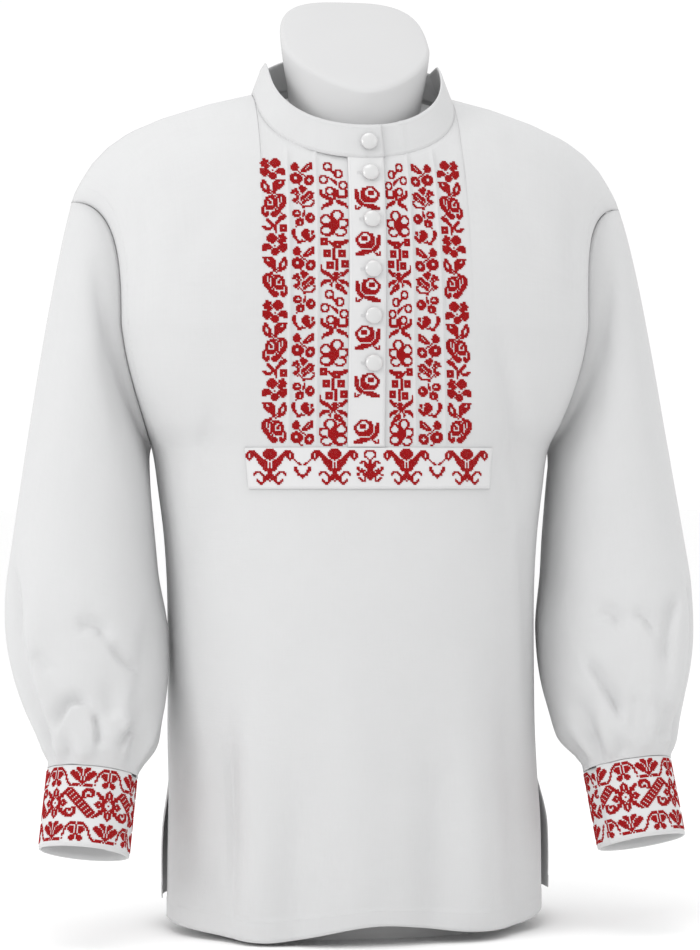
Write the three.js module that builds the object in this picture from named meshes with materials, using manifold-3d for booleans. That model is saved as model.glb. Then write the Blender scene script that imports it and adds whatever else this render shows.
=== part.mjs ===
// An embroidered folk shirt resting on a limbless dress form.
// Millimetres, +Z up. The shirt faces -Y, and "left" is -X, as seen from in front.
// The origin is on the floor, under the middle of the whole.
import * as THREE from 'three';
import { mergeVertices } from 'three/addons/utils/BufferGeometryUtils.js';
import Module from 'manifold-3d';

// ---------------------------------------------------------------- sizes
const CLOTH = 1.4;            // wall of one panel
const FOLDED = 1.8;           // wall of a folded strip: placket, band
const STIFFENED = 2.2;        // wall of the collar and cuffs
const SEAM_GAP = 0.4;         // clearance between sewn pieces
const UNDERARM = 447;         // height of the underarm and of the chest band's top
const CHEST = 560;            // height from which the cloth turns in to the shoulder
const TOP_LEVEL = 660;        // row number of the shoulder seam and neckline
const SIDE_X = 188;           // half width of the body at the underarm
const RIDGE_Y = 12;           // the shoulder seam's distance behind the middle
const NECK_HALF = 94;         // half width of the neckline
const NECK_SIDE_Z = 778;      // height of the neckline at the shoulder seam
const NECK_FRONT_DROP = 66;   // how far the neckline falls to the front
const NECK_BACK_RISE = 22;    // how far it rises to the back
const ARMHOLE_X = 262;        // half width at the top of the armhole
const HEM_ZONE = 60;          // rows below this height follow the hem's curve
const BIB_TOP = 711;          // height of the top of the embroidered bib
const TURN_Q = 118;           // thread line from which the body widens above the underarm
const SWAY = { low: 90, high: 200 };  // heights between which the hem's sideways hang dies out
const BODY_POWER = 2.2;       // fullness of the body's plan: 2 is an ellipse
const MIDDLE_Y = -4.39;       // middle of the whole, front to back, before it is centred

const BAND = { from: -111, to: 117, bottom: 409 };
const SLIT = { from: -3, to: 0 };
const PLACKET = { from: -19.5, to: 13.3 };
const COLLAR = {
  height: 29, lift: 1, topHalfScale: 0.88, topDepthScale: 0.94,
  overlap: 40, overlapRamp: 45, overlapStep: 2.9,
};
const CUFF = {
  top: [247.5, -78, 152],
  bottom: [256, -99, 84],
  halfWidth: 41,
  halfDepth: 36,
  endAngle: -55,
  underlap: 28,
  ramp: [315, 352],           // degrees over which the inner end dips under the outer one
  ease: 0.8,                  // room between the two ends
};
const BUTTON = { radius: 7.8, height: 5.2, x: 3.8, heights: [696.5, 653.5, 608, 566, 523] };
const COLLAR_BUTTON = { rise: 0.48, ease: 0.6, tilt: [0.03, -0.98, 0.17] };
const BUTTON_EASE = 0.8;      // room under a button for its shank of thread
// Ripples where each sleeve runs into its cuff: their number, depth and first ring.
const GATHERS = { count: 10, out: 3.4, from: 7.2 };

// Half width of the body and depth of its middle, front and back, by height.
const BODY = [
  { z: 0, frontHalf: 177, backHalf: 184, front: -141, back: 132, frontEdge: 1, backEdge: 1.4 },
  { z: 90, frontHalf: 176, backHalf: 184, front: -141, back: 132, frontEdge: 1, backEdge: 1.4 },
  { z: 150, frontHalf: 174, backHalf: 174, front: -139, back: 131, frontEdge: 1, backEdge: 1.4 },
  { z: 300, frontHalf: 173, backHalf: 173, front: -131, back: 126, frontEdge: 1, backEdge: 1.4 },
  { z: 360, frontHalf: 176, backHalf: 176, front: -123, back: 122, frontEdge: 1, backEdge: 1.4 },
  { z: 409, frontHalf: 182, backHalf: 182, front: -116, back: 120, frontEdge: 1, backEdge: 1.4 },
  { z: 447, frontHalf: 188, backHalf: 188, front: -113, back: 118, frontEdge: 1, backEdge: 1.4 },
  { z: 470, frontHalf: 196, backHalf: 196, front: -112, back: 117, frontEdge: -20, backEdge: 24 },
  { z: 500, frontHalf: 206, backHalf: 206, front: -112, back: 117, frontEdge: -33, backEdge: 38 },
  { z: 530, frontHalf: 214, backHalf: 214, front: -111, back: 116, frontEdge: -38, backEdge: 45 },
  { z: 560, frontHalf: 219, backHalf: 219, front: -111, back: 116, frontEdge: -39, backEdge: 48 },
];
// Height of the shoulder line by distance from the middle.
const RIDGE = [
  { x: 0, z: 802 }, { x: 94, z: 780 }, { x: 136, z: 770 }, { x: 176, z: 757 }, { x: 208, z: 743 },
  { x: 229, z: 728 }, { x: 243, z: 713 }, { x: 252, z: 699 }, { x: 259, z: 686 }, { x: 262, z: 677 },
];
// How far each upright thread line leans sideways at the top of the bib.
const LEAN = [
  { q: -150, shift: 0 }, { q: -97, shift: 1.5 }, { q: -45, shift: 3 }, { q: -19.5, shift: 4.1 },
  { q: 13.3, shift: 3.6 }, { q: 24, shift: -1.5 }, { q: 45, shift: -4 }, { q: 85, shift: -8 },
  { q: 150, shift: 0 },
];
// Height of the hem by share of the half width.
const FRONT_HEM = [
  { s: -1, z: 10 }, { s: -0.75, z: 5 }, { s: -0.5, z: 4 }, { s: 0, z: 19 }, { s: 0.5, z: 10 },
  { s: 0.85, z: 10 }, { s: 1, z: 18 },
];
const BACK_HEM = [{ s: -1, z: 27 }, { s: 0, z: 16 }, { s: 1, z: 29 }];
// Soft folds: place across (share of the half width) at the foot and head of the fold,
// half width, how far it stands out (minus is a trough), and the heights between which it fades in.
const FRONT_FOLDS = [
  { foot: -0.79, head: -0.76, half: 0.10, out: -10, low: -50, high: 250 },
  { foot: -0.60, head: -0.56, half: 0.13, out: 7, low: -50, high: 280 },
  { foot: -0.42, head: -0.40, half: 0.09, out: -5, low: -50, high: 220 },
  { foot: -0.12, head: -0.10, half: 0.16, out: 4, low: -50, high: 340 },
  { foot: 0.30, head: 0.27, half: 0.10, out: -6, low: -50, high: 230 },
  { foot: 0.56, head: 0.50, half: 0.13, out: 7, low: -50, high: 300 },
  { foot: 0.80, head: 0.76, half: 0.10, out: -10, low: -50, high: 330 },
  { foot: 0.78, head: 0.62, half: 0.08, out: -4, low: 330, high: 600 },
  { foot: -0.80, head: -0.66, half: 0.08, out: -3, low: 330, high: 560 },
];
const BACK_FOLDS = [
  { foot: -0.72, head: -0.60, half: 0.11, out: -9, low: -50, high: 420 },
  { foot: -0.45, head: -0.35, half: 0.12, out: 7, low: -50, high: 460 },
  { foot: -0.20, head: -0.14, half: 0.10, out: -6, low: -50, high: 380 },
  { foot: 0.08, head: 0.06, half: 0.13, out: 6, low: -50, high: 480 },
  { foot: 0.34, head: 0.26, half: 0.10, out: -7, low: -50, high: 400 },
  { foot: 0.58, head: 0.46, half: 0.12, out: 7, low: -50, high: 440 },
  { foot: 0.80, head: 0.68, half: 0.09, out: -9, low: -50, high: 400 },
];
// Pin tucks of the bib, by their place across at its foot.
const TUCKS = [{ q: -72.7 }, { q: -48 }, { q: 43.2 }, { q: 71.1 }];
const TUCK = { half: 2.6, out: 1.8, ramp: 12 };

// Sleeve rings from the armhole to the cuff: outer point, inner point, middle and half depth in
// Y, rise to the front for each millimetre, and share of the way from the armhole's own shape.
const SLEEVE = [
  { outX: 267, outZ: 657, inX: 191.5, inZ: 441, midY: 3, halfY: 50, tilt: 0, head: 0.3 },
  { outX: 277, outZ: 614, inX: 191, inZ: 431, midY: 2, halfY: 57, tilt: 0, head: 0.65 },
  { outX: 288, outZ: 552, inX: 189.5, inZ: 411, midY: 0, halfY: 62, tilt: 0, head: 0.9 },
  { outX: 298, outZ: 490, inX: 187.5, inZ: 385, midY: -2, halfY: 65, tilt: 0, head: 1 },
  { outX: 308, outZ: 425, inX: 184.5, inZ: 352, midY: -4, halfY: 68, tilt: 0, head: 1 },
  { outX: 317, outZ: 365, inX: 182, inZ: 318, midY: -10, halfY: 70, tilt: 0, head: 1 },
  { outX: 324, outZ: 315, inX: 181, inZ: 284, midY: -18, halfY: 71, tilt: 0, head: 1 },
  { outX: 324, outZ: 274, inX: 181, inZ: 253, midY: -26, halfY: 70, tilt: 0.02, head: 1 },
  { outX: 318, outZ: 240, inX: 183, inZ: 227, midY: -36, halfY: 67, tilt: 0.06, head: 1 },
  { outX: 309, outZ: 212, inX: 187, inZ: 205, midY: -47, halfY: 62, tilt: 0.12, head: 1 },
  { outX: 300, outZ: 191, inX: 192, inZ: 183, midY: -58, halfY: 55, tilt: 0.19, head: 1 },
  { outX: 293, outZ: 175, inX: 199, inZ: 167, midY: -68, halfY: 47, tilt: 0.25, head: 1 },
  { outX: 288, outZ: 165.5, inX: 206, inZ: 156, midY: -75, halfY: 38, tilt: 0.28, head: 1 },
];
const HEAD_PUSH = 11;         // how far the sleeve stands off its armhole at once
const SLEEVE_POWER = 2.15;    // fullness of a sleeve's section: 2 is an ellipse
// Long soft folds of a sleeve: angle (0 outside, 90 front, 180 inside), half width in degrees,
// depth, and the rings between which it runs.
const SLEEVE_FOLDS = [
  { angle: 28, half: 12, out: -7, from: 5, to: 11.5 },
  { angle: 48, half: 14, out: 4, from: 5, to: 11 },
  { angle: 78, half: 13, out: -5, from: 8, to: 12 },
  { angle: 105, half: 12, out: -6, from: 7, to: 10.5 },
  { angle: 140, half: 14, out: -6, from: 8, to: 12 },
  { angle: 232, half: 16, out: -6, from: 5, to: 11 },
  { angle: 300, half: 16, out: -7, from: 4, to: 11 },
];

// Torso of the dress form, by height.
const FORM = [
  { z: 0, frontHalf: 148, backHalf: 148, front: -98, back: 98, frontEdge: 0, backEdge: 0 },
  { z: 120, frontHalf: 152, backHalf: 152, front: -100, back: 104, frontEdge: 0, backEdge: 0 },
  { z: 290, frontHalf: 133, backHalf: 133, front: -88, back: 84, frontEdge: 0, backEdge: 0 },
  { z: 430, frontHalf: 146, backHalf: 146, front: -94, back: 92, frontEdge: 2, backEdge: 2 },
  { z: 560, frontHalf: 164, backHalf: 164, front: -97, back: 100, frontEdge: 4, backEdge: 4 },
];
const FORM_RIDGE_DROP = 11;   // the form's shoulders lie this far under the cloth's
const FORM_SHOULDER_X = 208;
const FORM_NECK = { halfX: 62, front: -58, back: 38, foot: 700 };
const FORM_CAP = {
  halfX: 70, frontZ: 777, backZ: 877, edge: 4, turn: 7, frontPower: 1.25, backPower: 0.64,
};

// ---------------------------------------------------------------- small helpers
const radians = (degrees) => degrees * Math.PI / 180;
const mix = (a, b, t) => a + (b - a) * t;

function smooth(edge0, edge1, value) {
  const t = Math.min(1, Math.max(0, (value - edge0) / (edge1 - edge0)));
  return t * t * (3 - 2 * t);
}

// Reads column `name` of a table at `value` of column `key`, with straight lines between rows.
function read(table, key, name, value) {
  const last = table.length - 1;
  if (value <= table[0][key]) return table[0][name];
  if (value >= table[last][key]) return table[last][name];
  const i = table.findIndex((row) => row[key] > value);
  const low = table[i - 1];
  const high = table[i];
  return mix(low[name], high[name], (value - low[key]) / (high[key] - low[key]));
}

// As read(), but rounded over the rows with a Catmull-Rom curve.
function readRound(table, key, name, value) {
  const last = table.length - 1;
  if (value <= table[0][key]) return table[0][name];
  if (value >= table[last][key]) return table[last][name];
  const i = table.findIndex((row) => row[key] > value);
  const at = (k) => table[Math.min(last, Math.max(0, k))];
  const span = at(i)[key] - at(i - 1)[key];
  const slope = (k) => {
    const a = at(k - 1);
    const b = at(k + 1);
    return (b[name] - a[name]) / (b[key] - a[key]);
  };
  const t = (value - at(i - 1)[key]) / span;
  const t2 = t * t;
  const t3 = t2 * t;
  return (2 * t3 - 3 * t2 + 1) * at(i - 1)[name] + (t3 - 2 * t2 + t) * span * slope(i - 1)
    + (3 * t2 - 2 * t3) * at(i)[name] + (t3 - t2) * span * slope(i);
}

// ---------------------------------------------------------------- closed walls
// Normals of a grid of points, from the differences between neighbours.
function gridNormals(grid, closed, flip) {
  const rows = grid.length;
  const columns = grid[0].length;
  return grid.map((row, j) => row.map((point, i) => {
    const before = closed ? (i + columns - 1) % columns : Math.max(0, i - 1);
    const after = closed ? (i + 1) % columns : Math.min(columns - 1, i + 1);
    const across = row[after].clone().sub(row[before]);
    const up = grid[Math.min(rows - 1, j + 1)][i].clone().sub(grid[Math.max(0, j - 1)][i]);
    return across.cross(up).normalize().multiplyScalar(flip ? -1 : 1);
  }));
}

// A closed geometry from triangles; it is turned if its faces point in.
function closedGeometry(points, triangles) {
  let volume = 0;
  for (const [a, b, c] of triangles) {
    volume += points[a].dot(points[b].clone().cross(points[c]));
  }
  const geometry = new THREE.BufferGeometry();
  geometry.setAttribute('position', new THREE.Float32BufferAttribute(points.flatMap((p) => p.toArray()), 3));
  geometry.setIndex(triangles.flatMap(([a, b, c]) => (volume > 0 ? [a, b, c] : [a, c, b])));
  geometry.computeVertexNormals();
  return geometry;
}

// A wall between two grids of points. `closed` joins each row's ends.
function wallBetween(outer, inner, closed = false) {
  const rows = outer.length;
  const columns = outer[0].length;
  const points = [...outer.flat(), ...inner.flat()];
  const shift = rows * columns;
  const triangles = [];
  const edges = new Map();
  const addEdge = (a, b) => {
    if (edges.has(`${b},${a}`)) edges.delete(`${b},${a}`);
    else edges.set(`${a},${b}`, [a, b]);
  };
  const steps = closed ? columns : columns - 1;
  for (let j = 0; j < rows - 1; j += 1) {
    for (let i = 0; i < steps; i += 1) {
      const next = (i + 1) % columns;
      const quad = [j * columns + i, j * columns + next, (j + 1) * columns + next, (j + 1) * columns + i];
      const [a, b, c, d] = quad;
      triangles.push([a, b, c], [a, c, d]);
      triangles.push([a + shift, c + shift, b + shift], [a + shift, d + shift, c + shift]);
      quad.forEach((vertex, k) => addEdge(vertex, quad[(k + 1) % 4]));
    }
  }
  for (const [a, b] of edges.values()) {
    triangles.push([b, a, a + shift], [b, a + shift, b + shift]);
  }
  return closedGeometry(points, triangles);
}

// The grid that lies `thickness` behind another.
function innerGrid(outer, thickness, { closed = false, flip = false, square = () => false } = {}) {
  const normals = gridNormals(outer, closed, flip);
  // At a seam that faces along Y the wall's edge is cut square to it.
  normals.forEach((row, j) => row.forEach((normal, i) => {
    if (square(j, i)) normal.setY(0).normalize();
  }));
  return outer.map((row, j) => row.map((p, i) => p.clone().addScaledVector(normals[j][i], -thickness)));
}

const wall = (outer, thickness, options) => (
  wallBetween(outer, innerGrid(outer, thickness, options), options.closed));

// ---------------------------------------------------------------- the body's surface
const widthOf = (shape, z) => readRound(shape.table, 'z', shape.half, z);

// Share of the sideways growth above the underarm that thread line q takes.
const spread = (q) => smooth(TURN_Q, SIDE_X, Math.abs(q));

// How far the body hangs to one side at a height.
const swayOf = (shape, z) => shape.sway * (1 - smooth(SWAY.low, SWAY.high, z));

// Depth of the body at a place across and a height, on a superellipse.
function depthAt(shape, x, z) {
  const share = Math.min(1, Math.abs(x - swayOf(shape, z)) / widthOf(shape, z));
  const edge = readRound(shape.table, 'z', shape.edge, z);
  const deepest = readRound(shape.table, 'z', shape.middle, z);
  return edge + (deepest - edge) * (1 - share ** BODY_POWER) ** (1 / BODY_POWER);
}

// How far the bib's lean has moved thread line q at height z.
function leanAt(shape, q, z) {
  if (!shape.lean) return 0;
  const rise = Math.max(0, Math.min(1, (z - UNDERARM) / (BIB_TOP - UNDERARM)));
  return read(LEAN, 'q', 'shift', q) * rise;
}

// A thread line is named by q, its place across at the underarm: this is its place at height z.
function acrossAt(shape, q, z) {
  const width = widthOf(shape, z);
  if (z <= UNDERARM) return q * width / SIDE_X + swayOf(shape, z);
  const underarm = widthOf(shape, UNDERARM);
  const grown = Math.sign(q) * (width - underarm) * spread(q);
  return q * underarm / SIDE_X + grown + leanAt(shape, q, z);
}

// Where a thread line ends: on the shoulder seam, or on the neckline inside NECK_HALF.
function topOf(shape, q) {
  const start = acrossAt(shape, q, CHEST);
  const leaned = leanAt(shape, q, BIB_TOP) - leanAt(shape, q, CHEST);
  const x = start + leaned + Math.sign(q) * (shape.topX - widthOf(shape, CHEST)) * spread(q);
  const ridge = read(RIDGE, 'x', 'z', Math.abs(x)) - shape.drop;
  const inside = Math.max(0, 1 - (x / NECK_HALF) ** 2);
  const apex = ridge + shape.neckApex * inside ** 2;
  const cut = shape.neckline && inside > 0;
  const end = cut ? Math.min(NECK_SIDE_Z + shape.neckline(Math.sqrt(inside)), apex - 0.5) : apex;
  return { start, x, leaned, apex, end };
}

// A point of the bare surface on thread line q at height z.
function basePoint(shape, q, z) {
  if (z <= CHEST) {
    const x = acrossAt(shape, q, z);
    return new THREE.Vector3(x, depthAt(shape, x, z), z);
  }
  const top = topOf(shape, q);
  const sine = Math.min(1, (z - CHEST) / (top.apex - CHEST));
  const cosine = Math.sqrt(1 - sine * sine);
  const leaned = leanAt(shape, q, z) - leanAt(shape, q, CHEST);
  const x = top.start + (top.x - top.start - top.leaned) * (1 - cosine) ** 1.5 + leaned;
  return new THREE.Vector3(x, mix(RIDGE_Y, depthAt(shape, top.start, CHEST), cosine), z);
}

function foldsAt(folds, q, z) {
  const across = q / SIDE_X;
  let out = 0;
  for (const fold of folds) {
    const rise = (z - Math.max(0, fold.low)) / (fold.high - Math.max(0, fold.low));
    const place = mix(fold.foot, fold.head, rise);
    const grown = smooth(fold.low, mix(fold.low, fold.high, 0.3), z);
    const reach = grown * (1 - smooth(mix(fold.low, fold.high, 0.35), fold.high, z));
    out += fold.out * reach * Math.exp(-(((across - place) / fold.half) ** 2));
  }
  return out * (1 - smooth(0.88, 0.97, Math.abs(across)));
}

function tucksAt(q, z) {
  const nearest = Math.min(...TUCKS.map((tuck) => Math.abs(q - tuck.q)));
  const reach = smooth(UNDERARM, UNDERARM + TUCK.ramp, z) * (1 - smooth(BIB_TOP, BIB_TOP + TUCK.ramp, z));
  return TUCK.out * reach * Math.max(0, 1 - nearest / TUCK.half);
}

// The outward direction of the bare surface.
function baseNormal(shape, q, z) {
  const step = 0.5;
  const across = basePoint(shape, q + step, z).sub(basePoint(shape, q - step, z));
  const up = basePoint(shape, q, z).sub(basePoint(shape, q, z - step));
  return across.cross(up).normalize().multiplyScalar(shape.front ? 1 : -1);
}

// The finished surface: the bare one with its folds and tucks, `lift` further out.
function surfacePoint(shape, q, z, lift = 0) {
  const point = basePoint(shape, q, z);
  const out = foldsAt(shape.folds, q, z) + (shape.front ? tucksAt(q, z) : 0) + lift;
  if (out === 0) return point;
  return point.addScaledVector(baseNormal(shape, q, z), out);
}

// Height of a row on thread line q: straight rows to the chest, then equal turns to the top.
function heightOf(shape, q, level) {
  if (level < HEM_ZONE) {
    const hem = readRound(shape.hem, 's', 'z', q / SIDE_X);
    return mix(hem, HEM_ZONE, level / HEM_ZONE);
  }
  if (level <= CHEST) return level;
  const top = topOf(shape, q);
  const turn = Math.asin(Math.min(1, (top.end - CHEST) / (top.apex - CHEST)));
  return CHEST + (top.apex - CHEST) * Math.sin(turn * (level - CHEST) / (TOP_LEVEL - CHEST));
}

const FRONT = {
  front: true, table: BODY, half: 'frontHalf', middle: 'front', edge: 'frontEdge',
  lean: true, sway: 3, topX: ARMHOLE_X, drop: 0, neckApex: 6, hem: FRONT_HEM, folds: FRONT_FOLDS,
  neckline: (c) => -NECK_FRONT_DROP * c ** 0.76,
};
const BACK = {
  front: false, table: BODY, half: 'backHalf', middle: 'back', edge: 'backEdge',
  lean: false, sway: 6, topX: ARMHOLE_X, drop: 0, neckApex: 84, hem: BACK_HEM, folds: BACK_FOLDS,
  neckline: (c) => NECK_BACK_RISE * c,
};

// Place across of the front at a given height, turned back into its thread line.
function threadAt(x, z) {
  if (z <= UNDERARM) return x * SIDE_X / widthOf(FRONT, z);
  const rise = (z - UNDERARM) / (BIB_TOP - UNDERARM);
  let q = x;
  for (let i = 0; i < 4; i += 1) q = x - read(LEAN, 'q', 'shift', q) * rise;
  return q;
}

// A point over the front at a place across and a height, `lift` off the cloth. Tucks are
// passed over: what lies on the bib is `lift` off the panel between them.
function overFront(x, z, lift) {
  const q = threadAt(x, z);
  const out = foldsAt(FRONT.folds, q, z) + lift;
  return basePoint(FRONT, q, z).addScaledVector(baseNormal(FRONT, q, z), out);
}

// ---------------------------------------------------------------- panels
const LOW_ROWS = [0, 20, 60, 110, 160, 215, 270, 325, 370, BAND.bottom];
const ARMHOLE_ROWS = [UNDERARM, 468, 491, 514, 537, CHEST, 582, 603, 623, 642, TOP_LEVEL];
const ROWS = [...LOW_ROWS, ...ARMHOLE_ROWS];

// The thread line of the front that ends at a place across on the neckline.
function threadWithTop(x) {
  let q = x;
  for (let i = 0; i < 8; i += 1) q = x - leanAt(FRONT, q, BIB_TOP);
  return q;
}

// Thread lines from one side to the other: close together where the body turns to its sides,
// and with the extra lines that the neckline, the tucks, the band and the placket need.
function frontThreads() {
  const turns = [SIDE_X, 186, 181, 171, 157, 142, 129];
  const tucks = TUCKS.flatMap((tuck) => [tuck.q - TUCK.half, tuck.q, tuck.q + TUCK.half]);
  const neck = [-NECK_HALF, -89, -82, 82, 89, NECK_HALF].map(threadWithTop);
  const strips = [BAND.from, PLACKET.from, SLIT.from, SLIT.to, PLACKET.to, BAND.to];
  return [...turns.map((q) => -q), ...tucks, ...neck, ...strips, -60, -34, 28, 57, ...turns]
    .sort((a, b) => a - b);
}

function backThreads() {
  const half = [SIDE_X, 186, 179, 164, 144, 120, NECK_HALF, 87, 74, 52, 27];
  return [...half.map((q) => -q), 0, ...half].sort((a, b) => a - b);
}

function panelGrid(shape, threads) {
  return ROWS.map((level) => threads.map((q) => surfacePoint(shape, q, heightOf(shape, q, level))));
}

const FRONT_LINES = frontThreads();
const frontGrid = panelGrid(FRONT, FRONT_LINES);
const backGrid = panelGrid(BACK, backThreads());

// Points of a panel on its side seams, armholes and shoulder seams.
const onSeam = (grid) => (j, i) => {
  const shoulder = j === grid.length - 1 && Math.abs(grid[j][i].x) > NECK_HALF - 1;
  return i === 0 || i === grid[0].length - 1 || shoulder;
};

const frontInner = innerGrid(frontGrid, CLOTH, { square: onSeam(frontGrid) });

// The front between two thread lines and two rows. It is made in three: the part below the
// band's top, and the two sides of the slit. Where they meet, each stops half a gap short.
function frontGeometry([from, to], [low, high]) {
  const [first, last] = [from, to].map((q) => FRONT_LINES.indexOf(q));
  const [bottom, top] = [low, high].map((level) => ROWS.indexOf(level));
  const drawn = (low === UNDERARM ? 0.5 : -0.5) * SEAM_GAP;
  const part = (grid) => grid.slice(bottom, top + 1).map((row, j) => (
    row.slice(first, last + 1).map((point) => {
      const moved = ROWS[bottom + j] === UNDERARM ? drawn : 0;
      return new THREE.Vector3(point.x, point.y, point.z + moved);
    })));
  return wallBetween(part(frontGrid), part(frontInner));
}

function backGeometry() {
  const grid = backGrid.map((row) => row.map((p) => p.clone()));
  // The last row stops short of the front's, by the seam's gap along the shoulder.
  for (const point of grid[grid.length - 1]) {
    if (Math.abs(point.x) > NECK_HALF - 1) point.y += SEAM_GAP;
  }
  return wall(grid, CLOTH, { flip: true, square: onSeam(grid) });
}

// ---------------------------------------------------------------- sleeves
// The armhole's loop on one side, from the underarm up the front, over the top and down the
// back, with a point halfway along each step.
function armholeLoop(side) {
  const first = ROWS.indexOf(UNDERARM);
  const edgeOf = (grid) => grid.slice(first).map((row) => row[side > 0 ? row.length - 1 : 0]);
  const corners = [...edgeOf(frontGrid), ...edgeOf(backGrid).reverse().slice(1, -1)];
  return corners.flatMap((point, i) => {
    const next = corners[(i + 1) % corners.length];
    return [point.clone(), point.clone().lerp(next, 0.5)];
  });
}

function sleeveRelief(ring, degrees) {
  const last = SLEEVE.length - 1;
  const gather = smooth(GATHERS.from, last - 1.2, ring) * (1 - 0.75 * smooth(last - 1, last + 1, ring));
  const wave = radians(GATHERS.count * degrees) + 0.8 * Math.sin(radians(2 * degrees));
  let out = GATHERS.out * gather * Math.sin(wave);
  for (const fold of SLEEVE_FOLDS) {
    const reach = smooth(fold.from, fold.from + 1.8, ring) * (1 - smooth(fold.to - 1.5, fold.to, ring));
    out += fold.out * reach * Math.exp(-(((degrees - fold.angle) / fold.half) ** 2));
  }
  return out;
}

// A ring of the sleeve: angle 0 is its outer side, 90 the front and 180 the side at the body.
function sleevePoint(side, ring, degrees) {
  const row = (name) => readRound(SLEEVE.map((r, index) => ({ index, ...r })), 'index', name, ring);
  const c = Math.cos(radians(degrees));
  const s = Math.sin(radians(degrees));
  const round = 2 / SLEEVE_POWER;
  const across = Math.sign(c) * Math.abs(c) ** round;
  const depth = Math.sign(s) * Math.abs(s) ** round;
  const out = sleeveRelief(ring, degrees);
  const midX = (row('outX') + row('inX')) / 2;
  const midZ = (row('outZ') + row('inZ')) / 2;
  const halfX = (row('outX') - row('inX')) / 2 + out;
  const halfZ = (row('outZ') - row('inZ')) / 2;
  const forward = (row('halfY') + out) * depth;
  const z = midZ + halfZ * across + row('tilt') * forward;
  return new THREE.Vector3(side * (midX + halfX * across), row('midY') - forward, z);
}

function sleeveGeometry(side) {
  const loop = armholeLoop(side);
  const around = loop.length;
  const angleOf = (i) => 180 - 360 * i / around;
  const start = loop.map((point) => {
    const lift = smooth(600, 672, point.z);
    return point.clone().add(new THREE.Vector3(side * SEAM_GAP, 0, -lift * SEAM_GAP));
  });
  const rings = SLEEVE.map(({ head }, ring) => loop.map((point, i) => {
    const degrees = (angleOf(i) + 360) % 360;
    const free = sleevePoint(side, ring, degrees);
    const push = HEAD_PUSH * Math.abs(Math.sin(radians(degrees))) ** 0.6 * (1 - head) * Math.sqrt(ring + 1);
    return point.clone().lerp(free, head).add(new THREE.Vector3(side * push, 0, 0));
  }));
  const end = loop.map((_, i) => cuffPoint(side, -2 * SEAM_GAP / cuffHeight(), 90 - angleOf(i), 0));
  return wall([start, ...rings, end], CLOTH, { closed: true, flip: side > 0 });
}

// ---------------------------------------------------------------- cuffs
const cuffHeight = () => new THREE.Vector3(...CUFF.top).distanceTo(new THREE.Vector3(...CUFF.bottom));

// A point of the cuff: `down` runs from 0 at its top to 1 at its bottom, angle 0 is the front
// and 90 the outer side, `out` moves it off the cuff.
function cuffPoint(side, down, degrees, out) {
  const top = new THREE.Vector3(...CUFF.top);
  const bottom = new THREE.Vector3(...CUFF.bottom);
  const axis = bottom.clone().sub(top).normalize();
  const front = new THREE.Vector3(0, -1, 0).addScaledVector(axis, axis.y).normalize();
  const outward = axis.clone().cross(front).normalize();
  if (outward.x < 0) outward.negate();
  const angle = radians(degrees);
  const point = top.lerp(bottom, down)
    .addScaledVector(outward, (CUFF.halfWidth + out) * Math.sin(angle))
    .addScaledVector(front, (CUFF.halfDepth + out) * Math.cos(angle));
  point.x *= side;
  return point;
}

function cuffGeometry(side) {
  const steps = 30;
  const sweep = 360 + CUFF.underlap;
  const rows = [0, 0.5, 1];
  const grid = rows.map((down) => Array.from({ length: steps + 1 }, (_, i) => {
    const turned = sweep * i / steps;
    const under = smooth(...CUFF.ramp, turned) * (STIFFENED + CUFF.ease);
    return cuffPoint(side, down, CUFF.endAngle + turned, -under);
  }));
  return wall(grid, STIFFENED, { flip: side > 0 });
}

// ---------------------------------------------------------------- collar
// The line of the neckline's points that the collar follows: from its outer end at the placket
// round the left side, the back and the right side, and on under the outer end.
function collarLine() {
  const onNeck = (point) => Math.abs(point.x) < NECK_HALF + 0.5;
  const top = frontGrid[frontGrid.length - 1];
  const frontNeck = top.filter(onNeck);
  const last = frontNeck.indexOf(top[FRONT_LINES.indexOf(PLACKET.to)]);
  const first = frontNeck.indexOf(top[FRONT_LINES.indexOf(PLACKET.from)]);
  const backNeck = backGrid[backGrid.length - 1].filter(onNeck).slice(1, -1);
  return [
    ...frontNeck.slice(0, last + 1).reverse(),
    ...backNeck,
    ...frontNeck.slice(first).reverse(),
  ];
}

// A point of the collar: `rise` runs from 0 at the seam to 1 at its top, `out` moves it off.
function collarPoint(seam, rise, out) {
  const flat = new THREE.Vector3(seam.x, seam.y, 0).normalize();
  const point = seam.clone();
  point.x *= mix(1, COLLAR.topHalfScale, rise);
  point.y *= mix(1, COLLAR.topDepthScale, rise);
  point.z += COLLAR.lift + COLLAR.height * rise;
  return point.addScaledVector(flat, out);
}

function collarGeometry() {
  const line = collarLine();
  const length = line.map((point, i) => (i ? point.distanceTo(line[i - 1]) : 0));
  let run = 0;
  const runs = length.map((step) => {
    run += step;
    return run;
  });
  const grid = [0, 0.5, 1].map((rise) => line.map((point, i) => {
    const past = smooth(COLLAR.overlap, COLLAR.overlap + COLLAR.overlapRamp, runs[i]);
    const over = COLLAR.overlapStep * (1 - past);
    return collarPoint(point, rise, over);
  }));
  return wall(grid, STIFFENED, { flip: true });
}

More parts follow.
